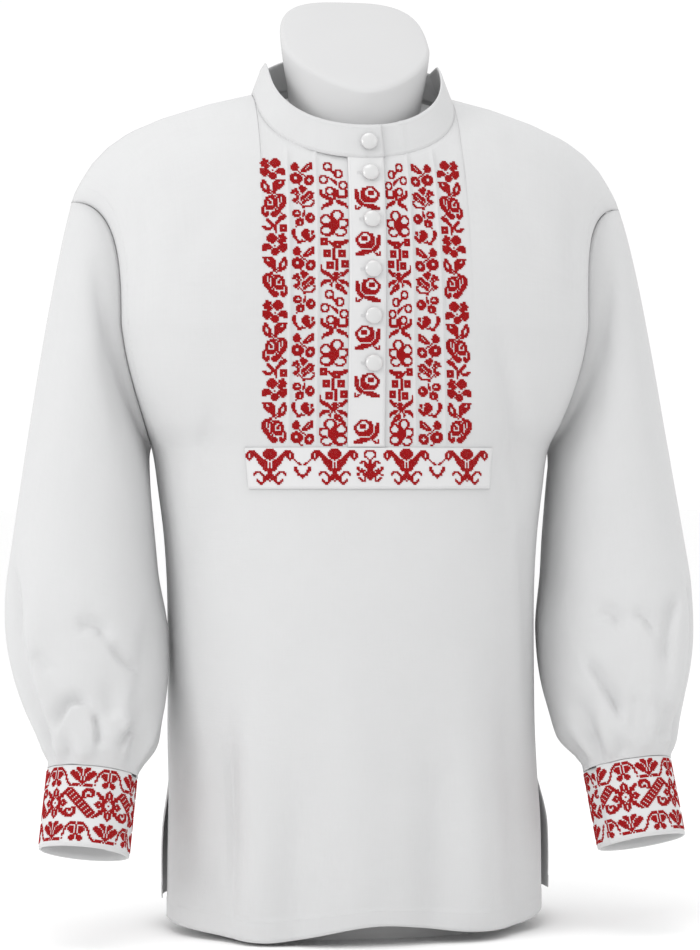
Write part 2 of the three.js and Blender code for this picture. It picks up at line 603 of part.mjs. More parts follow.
// ---------------------------------------------------------------- strips and buttons
// A strip that lies on the front, made from the panel's own points between two thread lines and
// two rows: `lift` is from the panel to the strip. The end rows draw in by `tuck` of a row.
function stripGeometry(from, to, rows, lift, thickness, tuck) {
  const first = FRONT_LINES.indexOf(from);
  const last = FRONT_LINES.indexOf(to);
  const [low, high] = rows.map((level) => ROWS.indexOf(level));
  const normals = gridNormals(frontGrid, false, false);
  const layer = (offset) => {
    const grid = [];
    for (let j = low; j <= high; j += 1) {
      grid.push(frontGrid[j].slice(first, last + 1).map((point, i) => (
        point.clone().addScaledVector(normals[j][first + i], offset))));
    }
    const end = grid.length - 1;
    grid[0].forEach((point, i) => point.lerp(grid[1][i], tuck));
    grid[end].forEach((point, i) => point.lerp(grid[end - 1][i], tuck));
    return grid;
  };
  return wallBetween(layer(lift + thickness), layer(lift));
}

function placketGeometry() {
  return stripGeometry(PLACKET.from, PLACKET.to, [UNDERARM, TOP_LEVEL], SEAM_GAP, FOLDED, 0.03);
}

function underlapGeometry() {
  const under = -(CLOTH + SEAM_GAP + CLOTH);
  return stripGeometry(PLACKET.from, PLACKET.to, [UNDERARM, TOP_LEVEL], under, CLOTH, 0.12);
}

function bandGeometry() {
  return stripGeometry(BAND.from, BAND.to, [BAND.bottom, UNDERARM], SEAM_GAP, FOLDED, 0.02);
}

// A domed button turned on its axis, then laid on a point along its normal.
function buttonMesh(name, point, normal) {
  const { radius, height } = BUTTON;
  const profile = [
    [0, 0], [radius * 0.8, 0], [radius, height * 0.3], [radius * 0.93, height * 0.62],
    [radius * 0.62, height * 0.92], [0, height],
  ].map(([r, h]) => new THREE.Vector2(r, h));
  const geometry = new THREE.LatheGeometry(profile, 14);
  const mesh = new THREE.Mesh(geometry, material(0xf4f4f2, 0.25));
  mesh.name = name;
  mesh.quaternion.setFromUnitVectors(new THREE.Vector3(0, 1, 0), normal);
  mesh.position.copy(point);
  return mesh;
}

// ---------------------------------------------------------------- dress form
const FORM_SHAPE = {
  table: FORM, middle: 'front', edge: 'frontEdge', half: 'frontHalf', lean: false, sway: 0,
  topX: FORM_SHOULDER_X, drop: FORM_RIDGE_DROP, neckApex: 0, folds: [], neckline: null,
};
const FORM_BACK_SHAPE = { ...FORM_SHAPE, middle: 'back', edge: 'backEdge', half: 'backHalf' };

const FORM_THREADS = [15, 44, 73, 103, 131, 154, 172, 184, SIDE_X];
const FORM_LEVELS = [
  0, 30, 75, 120, 165, 210, 250, 290, 335, 380, 430, 495, CHEST, 582, 604, 624, 642, 654, TOP_LEVEL,
];

function formRing(level) {
  const line = [...FORM_THREADS.map((q) => -q).reverse(), ...FORM_THREADS];
  const point = (shape, q) => basePoint(shape, q, level <= CHEST ? level : heightOf(shape, q, level));
  const front = line.map((q) => point(FORM_SHAPE, q));
  const back = line.slice(1, -1).reverse().map((q) => point(FORM_BACK_SHAPE, q));
  return [...front, ...back];
}

// Rings joined one to the next, closed by a flat bottom and by drawing the top ring's front
// and back together.
function torsoGeometry() {
  const rings = FORM_LEVELS.map(formRing);
  const around = rings[0].length;
  const points = rings.flat();
  const triangles = [];
  for (let j = 0; j < rings.length - 1; j += 1) {
    for (let i = 0; i < around; i += 1) {
      const next = (i + 1) % around;
      const [a, b, c, d] = [j * around + i, j * around + next, (j + 1) * around + next, (j + 1) * around + i];
      triangles.push([a, b, c], [a, c, d]);
    }
  }
  points.push(new THREE.Vector3(0, 0, 0));
  for (let i = 0; i < around; i += 1) triangles.push([points.length - 1, (i + 1) % around, i]);
  return closedGeometry(points, triangles);
}

// The neck: oval rings that tilt from level to the slant of the flat cap.
function neckGeometry() {
  const around = 32;
  const { halfX, front, back, foot } = FORM_NECK;
  const midY = (front + back) / 2;
  const halfY = (back - front) / 2;
  const ringAt = (rise, shrink) => Array.from({ length: around }, (_, i) => {
    const turn = 2 * Math.PI * i / around;
    const c = Math.cos(turn);
    const power = mix(1, c > 0 ? FORM_CAP.frontPower : FORM_CAP.backPower, smooth(0.6, 1, rise));
    const across = Math.sign(Math.sin(turn)) * Math.abs(Math.sin(turn)) ** power;
    const half = mix(halfX, FORM_CAP.halfX, smooth(0.5, 1, rise)) - shrink;
    const y = midY - (halfY - shrink) * Math.sign(c) * Math.abs(c) ** power;
    const share = (y - front) / (back - front);
    const x = half * across + FORM_CAP.turn * rise * (1 - share);
    return new THREE.Vector3(x, y, mix(foot, mix(FORM_CAP.frontZ, FORM_CAP.backZ, share), rise));
  });
  const rings = [0, 0.35, 0.6, 0.8, 0.93].map((rise) => ringAt(rise, 0));
  rings.push(ringAt(0.985, FORM_CAP.edge * 0.3), ringAt(1, FORM_CAP.edge));
  const points = rings.flat();
  const triangles = [];
  for (let j = 0; j < rings.length - 1; j += 1) {
    for (let i = 0; i < around; i += 1) {
      const next = (i + 1) % around;
      const [a, b, c, d] = [j * around + i, j * around + next, (j + 1) * around + next, (j + 1) * around + i];
      triangles.push([a, b, c], [a, c, d]);
    }
  }
  const last = (rings.length - 1) * around;
  points.push(new THREE.Vector3(0, midY, foot));
  points.push(new THREE.Vector3(0, midY, (FORM_CAP.frontZ + FORM_CAP.backZ) / 2));
  for (let i = 0; i < around; i += 1) {
    const next = (i + 1) % around;
    triangles.push([points.length - 2, next, i], [points.length - 1, last + i, last + next]);
  }
  return closedGeometry(points, triangles);
}

async function formGeometry() {
  const wasm = await Module();
  wasm.setup();
  const toSolid = (geometry) => {
    geometry.deleteAttribute('normal');
    const merged = mergeVertices(geometry, 1e-4);
    const mesh = new wasm.Mesh({
      numProp: 3,
      vertProperties: new Float32Array(merged.attributes.position.array),
      triVerts: new Uint32Array(merged.index.array),
    });
    mesh.merge();
    return new wasm.Manifold(mesh);
  };
  const joined = toSolid(torsoGeometry()).add(toSolid(neckGeometry())).getMesh();
  const geometry = new THREE.BufferGeometry();
  geometry.setAttribute('position', new THREE.BufferAttribute(joined.vertProperties, 3));
  geometry.setIndex(new THREE.BufferAttribute(joined.triVerts, 1));
  geometry.computeVertexNormals();
  return geometry;
}

// ---------------------------------------------------------------- the assembled object
const material = (color, roughness) => new THREE.MeshStandardMaterial({ color, roughness, metalness: 0 });

function named(name, geometry, color = 0xf2f3f5, roughness = 0.9) {
  const mesh = new THREE.Mesh(geometry, material(color, roughness));
  mesh.name = name;
  return mesh;
}

const model = new THREE.Group();
const wholeWidth = [-SIDE_X, SIDE_X];
model.add(named('front_lower', frontGeometry(wholeWidth, [ROWS[0], UNDERARM])));
model.add(named('front_upper_left', frontGeometry([-SIDE_X, SLIT.from], [UNDERARM, TOP_LEVEL])));
model.add(named('front_upper_right', frontGeometry([SLIT.to, SIDE_X], [UNDERARM, TOP_LEVEL])));
model.add(named('back', backGeometry()));
for (const [word, side] of [['left', -1], ['right', 1]]) {
  model.add(named(`sleeve_${word}`, sleeveGeometry(side)));
  model.add(named(`cuff_${word}`, cuffGeometry(side), 0xf2eeee));
}
model.add(named('collar', collarGeometry()));
model.add(named('placket', placketGeometry()));
model.add(named('placket_under', underlapGeometry()));
model.add(named('chest_band', bandGeometry(), 0xf2eeee));

const onPlacket = SEAM_GAP + FOLDED + BUTTON_EASE;
const collarFront = frontGrid[frontGrid.length - 1][FRONT_LINES.indexOf(SLIT.to)];
const collarOut = COLLAR.overlapStep + COLLAR_BUTTON.ease;
const collarButton = collarPoint(collarFront, COLLAR_BUTTON.rise, collarOut);
model.add(buttonMesh('button_1', collarButton, new THREE.Vector3(...COLLAR_BUTTON.tilt).normalize()));
BUTTON.heights.forEach((z, i) => {
  const q = threadAt(BUTTON.x, z);
  model.add(buttonMesh(`button_${i + 2}`, overFront(BUTTON.x, z, onPlacket), baseNormal(FRONT, q, z)));
});
model.add(named('dress_form', await formGeometry(), 0xe9eaec, 0.6));
for (const mesh of model.children) mesh.position.y -= MIDDLE_Y;

export default model;
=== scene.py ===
# %% [markdown]
# # An embroidered folk shirt on a dress form
# The shirt is a pullover of white cotton: a front with a half placket and pin tucks, a plain
# back, gathered sleeves, a stand collar, stiff cuffs and an applied band across the chest. Red
# cross-stitch covers the bib, the placket, the band and the cuffs. The solids made in CAD are
# the frame: every cloth piece below is worked out from the same few tables, so that it lies
# exactly where its solid lies, and it is finer only in its folds, hems and stitches.
# %% Load the frame
import math

import bpy
import numpy as np
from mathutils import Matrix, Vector


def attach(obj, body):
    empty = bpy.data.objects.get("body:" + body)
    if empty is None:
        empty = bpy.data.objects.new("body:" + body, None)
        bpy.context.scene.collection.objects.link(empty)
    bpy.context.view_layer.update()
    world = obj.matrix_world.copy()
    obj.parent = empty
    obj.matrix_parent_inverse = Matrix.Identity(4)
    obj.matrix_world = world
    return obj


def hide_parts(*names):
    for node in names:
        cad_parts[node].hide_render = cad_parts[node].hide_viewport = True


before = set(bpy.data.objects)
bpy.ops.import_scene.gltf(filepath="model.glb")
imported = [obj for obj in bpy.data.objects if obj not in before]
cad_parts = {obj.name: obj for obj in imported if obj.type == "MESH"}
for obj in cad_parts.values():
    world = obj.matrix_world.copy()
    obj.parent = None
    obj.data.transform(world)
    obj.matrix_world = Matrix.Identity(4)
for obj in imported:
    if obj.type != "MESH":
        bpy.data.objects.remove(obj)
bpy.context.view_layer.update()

# %% [markdown]
# ## Camera, floor and light
# A garment is shot from far away with a long lens, so that the sleeves aren't larger than the
# body. The camera stands a little to the left of the front and half as high as the form. Wide
# soft lamps from both sides keep the white cloth white and still show its shallow folds.
# %% Camera
MM = 0.001
MIDDLE_Y = -4.39          # the shirt is worked out about its own neck, then centred


def aim(obj, target):
    """Turn an object so that its own -Z looks at the target."""
    direction = Vector(target) - obj.location
    obj.rotation_euler = direction.to_track_quat("-Z", "Y").to_euler()


VIEW_TURN = math.radians(-8.5)
VIEW_FAR = 2.6            # metres from the middle of the shirt
VIEW_HEIGHT = 0.422
SENSOR, LENS, SHIFT = 36, 104.4, -0.001
camera = bpy.data.objects.new("camera", bpy.data.cameras.new("camera"))
bpy.context.scene.collection.objects.link(camera)
eye_x = VIEW_FAR * math.sin(VIEW_TURN)
eye_y = -VIEW_FAR * math.cos(VIEW_TURN) - MIDDLE_Y * MM
camera.location = (eye_x, eye_y, VIEW_HEIGHT)
camera.rotation_euler = (math.pi / 2, 0, VIEW_TURN)
camera.data.sensor_width = SENSOR
camera.data.lens = LENS
camera.data.shift_x = SHIFT
bpy.context.scene.camera = camera
print("camera at", [round(v, 3) for v in camera.location])

# %% Floor and lamps
floor_mesh = bpy.data.meshes.new("floor")
HALF_FLOOR = 30
floor_corners = [(x * HALF_FLOOR, y * HALF_FLOOR, 0)
                 for x, y in ((-1, -1), (1, -1), (1, 1), (-1, 1))]
floor_mesh.from_pydata(floor_corners, [], [(0, 1, 2, 3)])
floor = bpy.data.objects.new("floor", floor_mesh)
bpy.context.scene.collection.objects.link(floor)
paper = bpy.data.materials.new("pale_paper")
paper.use_nodes = True
for key, value in (("Base Color", (0.97, 0.97, 0.97, 1)), ("Roughness", 0.9)):
    paper.node_tree.nodes["Principled BSDF"].inputs[key].default_value = value
floor_mesh.materials.append(paper)

LAMPS = [
    {"name": "left", "at": (-2.8, -1.5, 1.5), "size": 1.2, "power": 30},
    {"name": "right", "at": (2.6, -1.7, 1.5), "size": 2.0, "power": 10},
    {"name": "above", "at": (-0.3, -0.5, 3.0), "size": 1.6, "power": 16},
]
for lamp in LAMPS:
    light = bpy.data.lights.new(f"lamp_{lamp['name']}", "AREA")
    light.size = lamp["size"]
    light.energy = lamp["power"]
    holder = bpy.data.objects.new(light.name, light)
    bpy.context.scene.collection.objects.link(holder)
    holder.location = lamp["at"]
    aim(holder, (0, 0, 0.45))
world = bpy.data.worlds.new("studio")
world.use_nodes = True
for key, value in (("Color", (1, 1, 1, 1)), ("Strength", 1.02)):
    world.node_tree.nodes["Background"].inputs[key].default_value = value
bpy.context.scene.world = world
bpy.context.scene.view_settings.view_transform = "Standard"
print("lamps:", len(LAMPS))

# %% [markdown]
# ## The shirt's sizes
# These are the sizes that the pattern cutter and the maker of the form agreed on, in
# millimetres, with the front towards -Y. A thread line of the cloth is named by q, its place
# across at the underarm; q and the height z then give every point of a panel.
# %% Sizes
CLOTH = 1.1
FOLDED = 1.8
STIFFENED = 2.2
SEAM_GAP = 0.4
UNDERARM = 447
CHEST = 560
TOP_LEVEL = 660
SIDE_X = 188
RIDGE_Y = 12
NECK_HALF = 94
NECK_SIDE_Z = 778
ARMHOLE_X = 262
HEM_ZONE = 60
BIB_TOP = 711
BAND = {"from": -111, "to": 117, "bottom": 409}
SLIT = {"from": -3, "to": 0}
PLACKET = {"from": -19.5, "to": 13.3}
COLLAR = {"height": 29.8, "lift": 0.2, "top_half": 0.88, "top_depth": 0.94, "overlap": 40,
          "step": 2.9, "button_rise": 0.48, "button_room": 0.2}
CUFF = {"top": (247.5, -78, 152), "bottom": (256, -99, 84), "half_width": 41, "half_depth": 36,
        "end_angle": -55, "underlap": 28, "dip_from": 315, "dip_to": 352, "dip_room": 0.4}
BUTTON = {"radius": 7.8, "height": 5.2, "x": 3.8, "heights": (696.5, 653.5, 608, 566, 523)}
GATHERS = 10
BODY_POWER = 2.2          # fullness of the body's plan: 2 is an ellipse
SLEEVE_POWER = 2.15       # fullness of a sleeve's section
SIDES = (("left", -1), ("right", 1))


def columns(names, *rows):
    """A table given row by row, kept as one array for each named column."""
    return {name: np.array([row[k] for row in rows], float) for k, name in enumerate(names.split())}


BODY = columns(
    "z front_half back_half front back front_edge back_edge",
    (0, 177, 184, -141, 132, 1, 1.4), (90, 176, 184, -141, 132, 1, 1.4),
    (150, 174, 174, -139, 131, 1, 1.4), (300, 173, 173, -131, 126, 1, 1.4),
    (360, 176, 176, -123, 122, 1, 1.4), (409, 182, 182, -116, 120, 1, 1.4),
    (447, 188, 188, -113, 118, 1, 1.4), (470, 196, 196, -112, 117, -20, 24),
    (500, 206, 206, -112, 117, -33, 38), (530, 214, 214, -111, 116, -38, 45),
    (560, 219, 219, -111, 116, -39, 48))
RIDGE = columns("x z", (0, 802), (94, 780), (136, 770), (176, 757), (208, 743), (229, 728),
                (243, 713), (252, 699), (259, 686), (262, 677))
LEAN = columns("q shift", (-150, 0), (-97, 1.5), (-45, 3), (-19.5, 4.1), (13.3, 3.6),
               (24, -1.5), (45, -4), (85, -8), (150, 0))
FRONT_HEM = columns("s z", (-1, 10), (-0.75, 5), (-0.5, 4), (0, 19), (0.5, 10), (0.85, 10), (1, 18))
BACK_HEM = columns("s z", (-1, 27), (0, 16), (1, 29))
FRONT_FOLDS = columns(
    "foot head half out low high",
    (-0.79, -0.76, 0.10, -10, -50, 250), (-0.60, -0.56, 0.13, 7, -50, 280),
    (-0.42, -0.40, 0.09, -5, -50, 220), (-0.12, -0.10, 0.16, 4, -50, 340),
    (0.30, 0.27, 0.10, -6, -50, 230), (0.56, 0.50, 0.13, 7, -50, 300),
    (0.80, 0.76, 0.10, -10, -50, 330), (0.78, 0.62, 0.08, -4, 330, 600),
    (-0.80, -0.66, 0.08, -3, 330, 560))
BACK_FOLDS = columns(
    "foot head half out low high",
    (-0.72, -0.60, 0.11, -9, -50, 420), (-0.45, -0.35, 0.12, 7, -50, 460),
    (-0.20, -0.14, 0.10, -6, -50, 380), (0.08, 0.06, 0.13, 6, -50, 480),
    (0.34, 0.26, 0.10, -7, -50, 400), (0.58, 0.46, 0.12, 7, -50, 440),
    (0.80, 0.68, 0.09, -9, -50, 400))
TUCKS = (-72.7, -48, 43.2, 71.1)
TUCK = {"half": 2.6, "out": 1.8, "ramp": 12}
SLEEVE = columns(
    "out_x out_z in_x in_z mid_y half_y tilt head",
    (267, 657, 191.5, 441, 3, 50, 0, 0.3), (277, 614, 191, 431, 2, 57, 0, 0.65),
    (288, 552, 189.5, 411, 0, 62, 0, 0.9), (298, 490, 187.5, 385, -2, 65, 0, 1),
    (308, 425, 184.5, 352, -4, 68, 0, 1), (317, 365, 182, 318, -10, 70, 0, 1),
    (324, 315, 181, 284, -18, 71, 0, 1), (324, 274, 181, 253, -26, 70, 0.02, 1),
    (318, 240, 183, 227, -36, 67, 0.06, 1), (309, 212, 187, 205, -47, 62, 0.12, 1),
    (300, 191, 192, 183, -58, 55, 0.19, 1), (293, 175, 199, 167, -68, 47, 0.25, 1),
    (288, 165.5, 206, 156, -75, 38, 0.28, 1))
HEAD_PUSH = 11
SLEEVE_FOLDS = columns(
    "angle half out start end",
    (28, 12, -7, 5, 11.5), (48, 14, 4, 5, 11), (78, 13, -5, 8, 12), (105, 12, -6, 7, 10.5),
    (140, 14, -6, 8, 12), (180, 28, 6.5, 4.5, 11.5), (232, 16, -6, 5, 11), (300, 16, -7, 4, 11))
FORM = columns(
    "z front_half back_half front back front_edge back_edge",
    (0, 148, 148, -98, 98, 0, 0), (120, 152, 152, -100, 104, 0, 0), (290, 133, 133, -88, 84, 0, 0),
    (430, 146, 146, -94, 92, 2, 2), (560, 164, 164, -97, 100, 4, 4))
FORM_RIDGE_DROP = 11
FORM_SHOULDER_X = 208
FORM_NECK = {"half": 62, "front": -58, "back": 38, "foot": 700}
FORM_CAP = {"half": 70, "front_z": 777, "back_z": 877, "edge": 4, "turn": 7,
            "front_power": 1.25, "back_power": 0.64}
FRONT = {"sign": 1, "table": BODY, "half": "front_half", "middle": "front", "edge": "front_edge",
         "lean": True, "sway": 3, "top_x": ARMHOLE_X, "drop": 0, "apex": 6, "hem": FRONT_HEM,
         "folds": FRONT_FOLDS, "neckline": lambda c: -66 * c ** 0.76}
BACK = {"sign": -1, "table": BODY, "half": "back_half", "middle": "back", "edge": "back_edge",
        "lean": False, "sway": 6, "top_x": ARMHOLE_X, "drop": 0, "apex": 84, "hem": BACK_HEM,
        "folds": BACK_FOLDS, "neckline": lambda c: 22 * c**2 - 20 * c * (1 - c) ** 2}
FORM_FRONT = {"sign": 1, "table": FORM, "half": "front_half", "middle": "front",
              "edge": "front_edge", "lean": False, "sway": 0, "top_x": FORM_SHOULDER_X,
              "drop": FORM_RIDGE_DROP, "apex": 0, "folds": None, "neckline": None}
FORM_BACK = {**FORM_FRONT, "sign": -1, "half": "back_half", "middle": "back", "edge": "back_edge"}
print("tables for the body, sleeves, cuffs and form are ready")

# %% [markdown]
# ## Surfaces as arrays
# Each helper takes whole numpy arrays of q and z and gives whole arrays of points back, so a
# panel of twenty thousand points is one call. The body is a superellipse in plan: fuller than
# an ellipse, as cloth over a chest is. Above the chest it turns over to the shoulder seam.
# %% Helpers on arrays


def smooth(low, high, value):
    """An S-curve from 0 at low to 1 at high: t squared times three minus two t."""
    t = np.clip((value - low) / (high - low), 0, 1)
    return t * t * (3 - 2 * t)


def cubic(t, first, slope0, second, slope1):
    """The Hermite cubic from first to second with these slopes, t from 0 to 1."""
    return ((2 * t**3 - 3 * t**2 + 1) * first + (t**3 - 2 * t**2 + t) * slope0
            + (3 * t**2 - 2 * t**3) * second + (t**3 - t**2) * slope1)


def rounded(table, key, name, value):
    """Read a table with a Catmull-Rom curve: cubic between rows, each row's slope taken from
    the rows on both of its sides."""
    keys, values = table[key], table[name]
    last = len(keys) - 1
    value = np.clip(value, keys[0], keys[-1])
    i = np.clip(np.searchsorted(keys, value, side="right"), 1, last)
    before = np.clip(np.arange(last + 1) - 1, 0, last)
    after = np.clip(np.arange(last + 1) + 1, 0, last)
    slope = (values[after] - values[before]) / (keys[after] - keys[before])
    span = keys[i] - keys[i - 1]
    return cubic((value - keys[i - 1]) / span, values[i - 1], span * slope[i - 1], values[i],
                 span * slope[i])


def unit(vectors):
    """Vectors divided by their own lengths."""
    return vectors / np.maximum(np.linalg.norm(vectors, axis=-1, keepdims=True), 1e-9)


def width_of(shape, z):
    return rounded(shape["table"], "z", shape["half"], z)


def sway_of(shape, z):
    """The body hangs a little to one side below the hips."""
    return shape["sway"] * (1 - smooth(90, 200, z))


def spread(q):
    """Share of the sideways growth above the underarm that a thread line takes."""
    return smooth(118, SIDE_X, np.abs(q))


def depth_at(shape, x, z):
    """Depth of the body on a superellipse, (1 - share^p)^(1/p), from its edge to its middle."""
    share = np.minimum(1, np.abs(x - sway_of(shape, z)) / width_of(shape, z))
    edge = rounded(shape["table"], "z", shape["edge"], z)
    middle = rounded(shape["table"], "z", shape["middle"], z)
    return edge + (middle - edge) * (1 - share**BODY_POWER) ** (1 / BODY_POWER)


def lean_at(shape, q, z):
    """How far the bib's lean has moved a thread line at a height."""
    if not shape["lean"]:
        return np.zeros(np.broadcast(q, z).shape)
    rise = np.clip((z - UNDERARM) / (BIB_TOP - UNDERARM), 0, 1)
    return np.interp(q, LEAN["q"], LEAN["shift"]) * rise


def across_at(shape, q, z):
    """A thread line's place across: scaled with the width up to the underarm, and above it
    spread towards the armholes only near the sides."""
    width = width_of(shape, z)
    underarm = width_of(shape, UNDERARM)
    low = q * width / SIDE_X + sway_of(shape, z)
    grown = np.sign(q) * (width - underarm) * spread(q)
    return np.where(z <= UNDERARM, low, q * underarm / SIDE_X + grown + lean_at(shape, q, z))


def top_of(shape, q):
    """Where a thread line ends: on the shoulder seam, or on the neckline near the middle."""
    start = across_at(shape, q, CHEST)
    leaned = lean_at(shape, q, BIB_TOP) - lean_at(shape, q, CHEST)
    x = start + leaned + np.sign(q) * (shape["top_x"] - width_of(shape, CHEST)) * spread(q)
    ridge = np.interp(np.abs(x), RIDGE["x"], RIDGE["z"]) - shape["drop"]
    inside = np.maximum(0, 1 - (x / NECK_HALF) ** 2)
    apex = ridge + shape["apex"] * inside**2
    end = apex
    if shape["neckline"]:
        cut = np.minimum(NECK_SIDE_Z + shape["neckline"](np.sqrt(inside)), apex - 0.5)
        end = np.where(inside > 0, cut, apex)
    return start, x, leaned, apex, end


def base_point(shape, q, z):
    """The bare surface: the superellipse below the chest, a quarter of an ellipse above it."""
    q, z = np.broadcast_arrays(np.asarray(q, float), np.asarray(z, float))
    low_x = across_at(shape, q, np.minimum(z, CHEST))
    low = np.stack([low_x, depth_at(shape, low_x, np.minimum(z, CHEST)), z], -1)
    start, top_x, leaned, apex, _ = top_of(shape, q)
    sine = np.clip((z - CHEST) / (apex - CHEST), 0, 1)
    cosine = np.sqrt(1 - sine**2)
    here = lean_at(shape, q, z) - lean_at(shape, q, CHEST)
    x = start + (top_x - start - leaned) * (1 - cosine) ** 1.5 + here
    y = RIDGE_Y + (depth_at(shape, start, CHEST) - RIDGE_Y) * cosine
    return np.where((z <= CHEST)[..., None], low, np.stack([x, y, z], -1))


def base_normal(shape, q, z):
    """Outward direction: across times up, from points half a millimetre apart."""
    step = 0.5
    across = base_point(shape, q + step, z) - base_point(shape, q - step, z)
    up = base_point(shape, q, z) - base_point(shape, q, z - step)
    return shape["sign"] * unit(np.cross(across, up))


def height_of(shape, q, level):
    """Height of a row: rows below HEM_ZONE follow the hem, rows above the chest end together
    on the shoulder seam and the neckline."""
    q, level = np.broadcast_arrays(np.asarray(q, float), np.asarray(level, float))
    hem = rounded(shape["hem"], "s", "z", q / SIDE_X)
    low = hem + (HEM_ZONE - hem) * level / HEM_ZONE
    _, _, _, apex, end = top_of(shape, q)
    turn = np.arcsin(np.clip((end - CHEST) / (apex - CHEST), 0, 1))
    high = CHEST + (apex - CHEST) * np.sin(turn * (level - CHEST) / (TOP_LEVEL - CHEST))
    return np.where(level < HEM_ZONE, low, np.where(level <= CHEST, level, high))


print("front centre at the chest:", base_point(FRONT, 0.0, 560.0).round(1))

# %% [markdown]
# ## Where the cloth creases
# Soft cloth keeps a few long troughs and ridges where it hangs, and short puckers where it is
# gathered. Each is a curve on the cloth with a width and a height, listed in a table: the height
# fades like a bell across the curve and dies out at its ends.
# %% Folds, tucks and creases


def folds_at(folds, q, z):
    """Long folds: each adds out times a bell across it, faded in and out with the height."""
    across = q / SIDE_X
    out = np.zeros(np.broadcast(q, z).shape)
    for foot, head, half, height, low, high in zip(*folds.values()):
        rise = (z - max(0, low)) / (high - max(0, low))
        place = foot + (head - foot) * rise
        fade_in = smooth(low, low + (high - low) * 0.3, z)
        fade_out = 1 - smooth(low + (high - low) * 0.35, high, z)
        out = out + height * fade_in * fade_out * np.exp(-(((across - place) / half) ** 2))
    return out * (1 - smooth(0.88, 0.97, np.abs(across)))


def tucks_at(q, z):
    """Pin tucks: narrow roofs along four thread lines, from the band to the top of the bib."""
    nearest = np.min([np.abs(q - tuck) for tuck in TUCKS], axis=0)
    above = smooth(UNDERARM, UNDERARM + TUCK["ramp"], z)
    below = 1 - smooth(BIB_TOP, BIB_TOP + TUCK["ramp"], z)
    return TUCK["out"] * (above * below) * np.maximum(0, 1 - nearest / TUCK["half"])


CURVE_STEPS = 14
CREASE_DEPTH = 1.7        # every crease's height is multiplied by this


def creases_at(table, u, v):
    """Creases: each row is a curve through three points (a quadratic Bezier), with its half
    width, its height and how much sharper its right side is than its left."""
    out = np.zeros(np.shape(u))
    t = np.linspace(0, 1, CURVE_STEPS + 1)
    for u0, v0, u1, v1, u2, v2, half, height, sharp in zip(*table.values()):
        cu = (1 - t) ** 2 * u0 + 2 * t * (1 - t) * u1 + t**2 * u2
        cv = (1 - t) ** 2 * v0 + 2 * t * (1 - t) * v1 + t**2 * v2
        near = np.full(np.shape(u), 1e9)
        side = np.zeros(np.shape(u))
        along = np.zeros(np.shape(u))
        for k in range(CURVE_STEPS):
            du, dv = cu[k + 1] - cu[k], cv[k + 1] - cv[k]
            share = np.clip(((u - cu[k]) * du + (v - cv[k]) * dv) / (du * du + dv * dv), 0, 1)
            ou, ov = u - cu[k] - share * du, v - cv[k] - share * dv
            gap = ou * ou + ov * ov
            closer = gap < near
            near = np.where(closer, gap, near)
            side = np.where(closer, np.sign(du * ov - dv * ou), side)
            along = np.where(closer, (k + share) / CURVE_STEPS, along)
        width = half * (1 + sharp * side)
        taper = smooth(0, 0.3, along) * (1 - smooth(0.7, 1, along))
        out = out + CREASE_DEPTH * height * np.exp(-near / width**2) * (0.15 + 0.85 * taper)
    return out


CREASE_COLUMNS = "x0 z0 x1 z1 x2 z2 half out sharp"
FRONT_CREASES = columns(
    CREASE_COLUMNS,
    (121, 548, 140, 470, 156, 380, 9, -2.2, 0.3),
    (150, 400, 158, 300, 160, 180, 10, -2.0, 0.2),
    (-168, 250, -166, 120, -160, 10, 7, -2.4, 0.4),
    (-128, 200, -130, 110, -126, 5, 6, -3.0, 0.5),
    (-112, 230, -108, 110, -102, 10, 12, 2.0, 0.2),
    (-60, 150, -40, 80, -30, 30, 16, -1.6, 0.0),
    (60, 180, 70, 90, 74, 15, 14, -1.8, 0.0),
    (-140, 500, -150, 420, -160, 340, 9, -1.6, 0.3),
    (205, 690, 196, 640, 200, 560, 8, -2.2, 0.2),
    (-205, 690, -197, 640, -202, 560, 8, -2.0, -0.2),
    (110, 700, 150, 660, 178, 600, 16, -1.6, 0.2),
    (-112, 700, -150, 655, -176, 600, 16, -1.4, -0.2),
    (100, 742, 120, 745, 150, 736, 7, 1.2, 0.0))
BACK_CREASES = columns(
    CREASE_COLUMNS,
    (-110, 640, -60, 560, -40, 440, 16, -2.0, 0.2),
    (112, 650, 70, 560, 50, 430, 15, -2.2, -0.2),
    (-150, 520, -120, 400, -112, 260, 13, -2.0, 0.2),
    (152, 520, 126, 390, 118, 240, 13, -2.0, -0.2),
    (-30, 420, -36, 250, -30, 60, 12, 1.6, 0.0),
    (-180, 260, -176, 140, -170, 30, 8, -2.0, 0.3),
    (176, 270, 174, 150, 168, 30, 8, -2.2, -0.3),
    (-205, 690, -198, 640, -202, 560, 8, -2.0, -0.2),
    (205, 690, 198, 640, 202, 560, 8, -2.0, 0.2))
HEM_TURN = {"height": 22, "out": 0.35}


def surface(shape, q, z, lift=0.0, level=None):
    """The finished outside of a panel: the bare surface moved out along its normal by folds,
    tucks and creases. The turned hem is a little thicker than the single cloth."""
    point = base_point(shape, q, z)
    out = lift + folds_at(shape["folds"], q, z)
    fade = 1 - smooth(0.9, 0.985, np.abs(q) / SIDE_X)
    if shape["sign"] > 0:
        out = out + tucks_at(q, z)
        in_bib = smooth(-125, -105, point[..., 0]) * (1 - smooth(102, 122, point[..., 0]))
        fade = fade * (1 - in_bib * smooth(395, 412, z))
    creases = FRONT_CREASES if shape["sign"] > 0 else BACK_CREASES
    out = out + fade * creases_at(creases, point[..., 0], point[..., 2])
    if level is not None:
        turned = 1 - smooth(HEM_TURN["height"] - 1, HEM_TURN["height"] + 0.5, level)
        out = out + HEM_TURN["out"] * turned
    return point + base_normal(shape, q, z) * out[..., None]


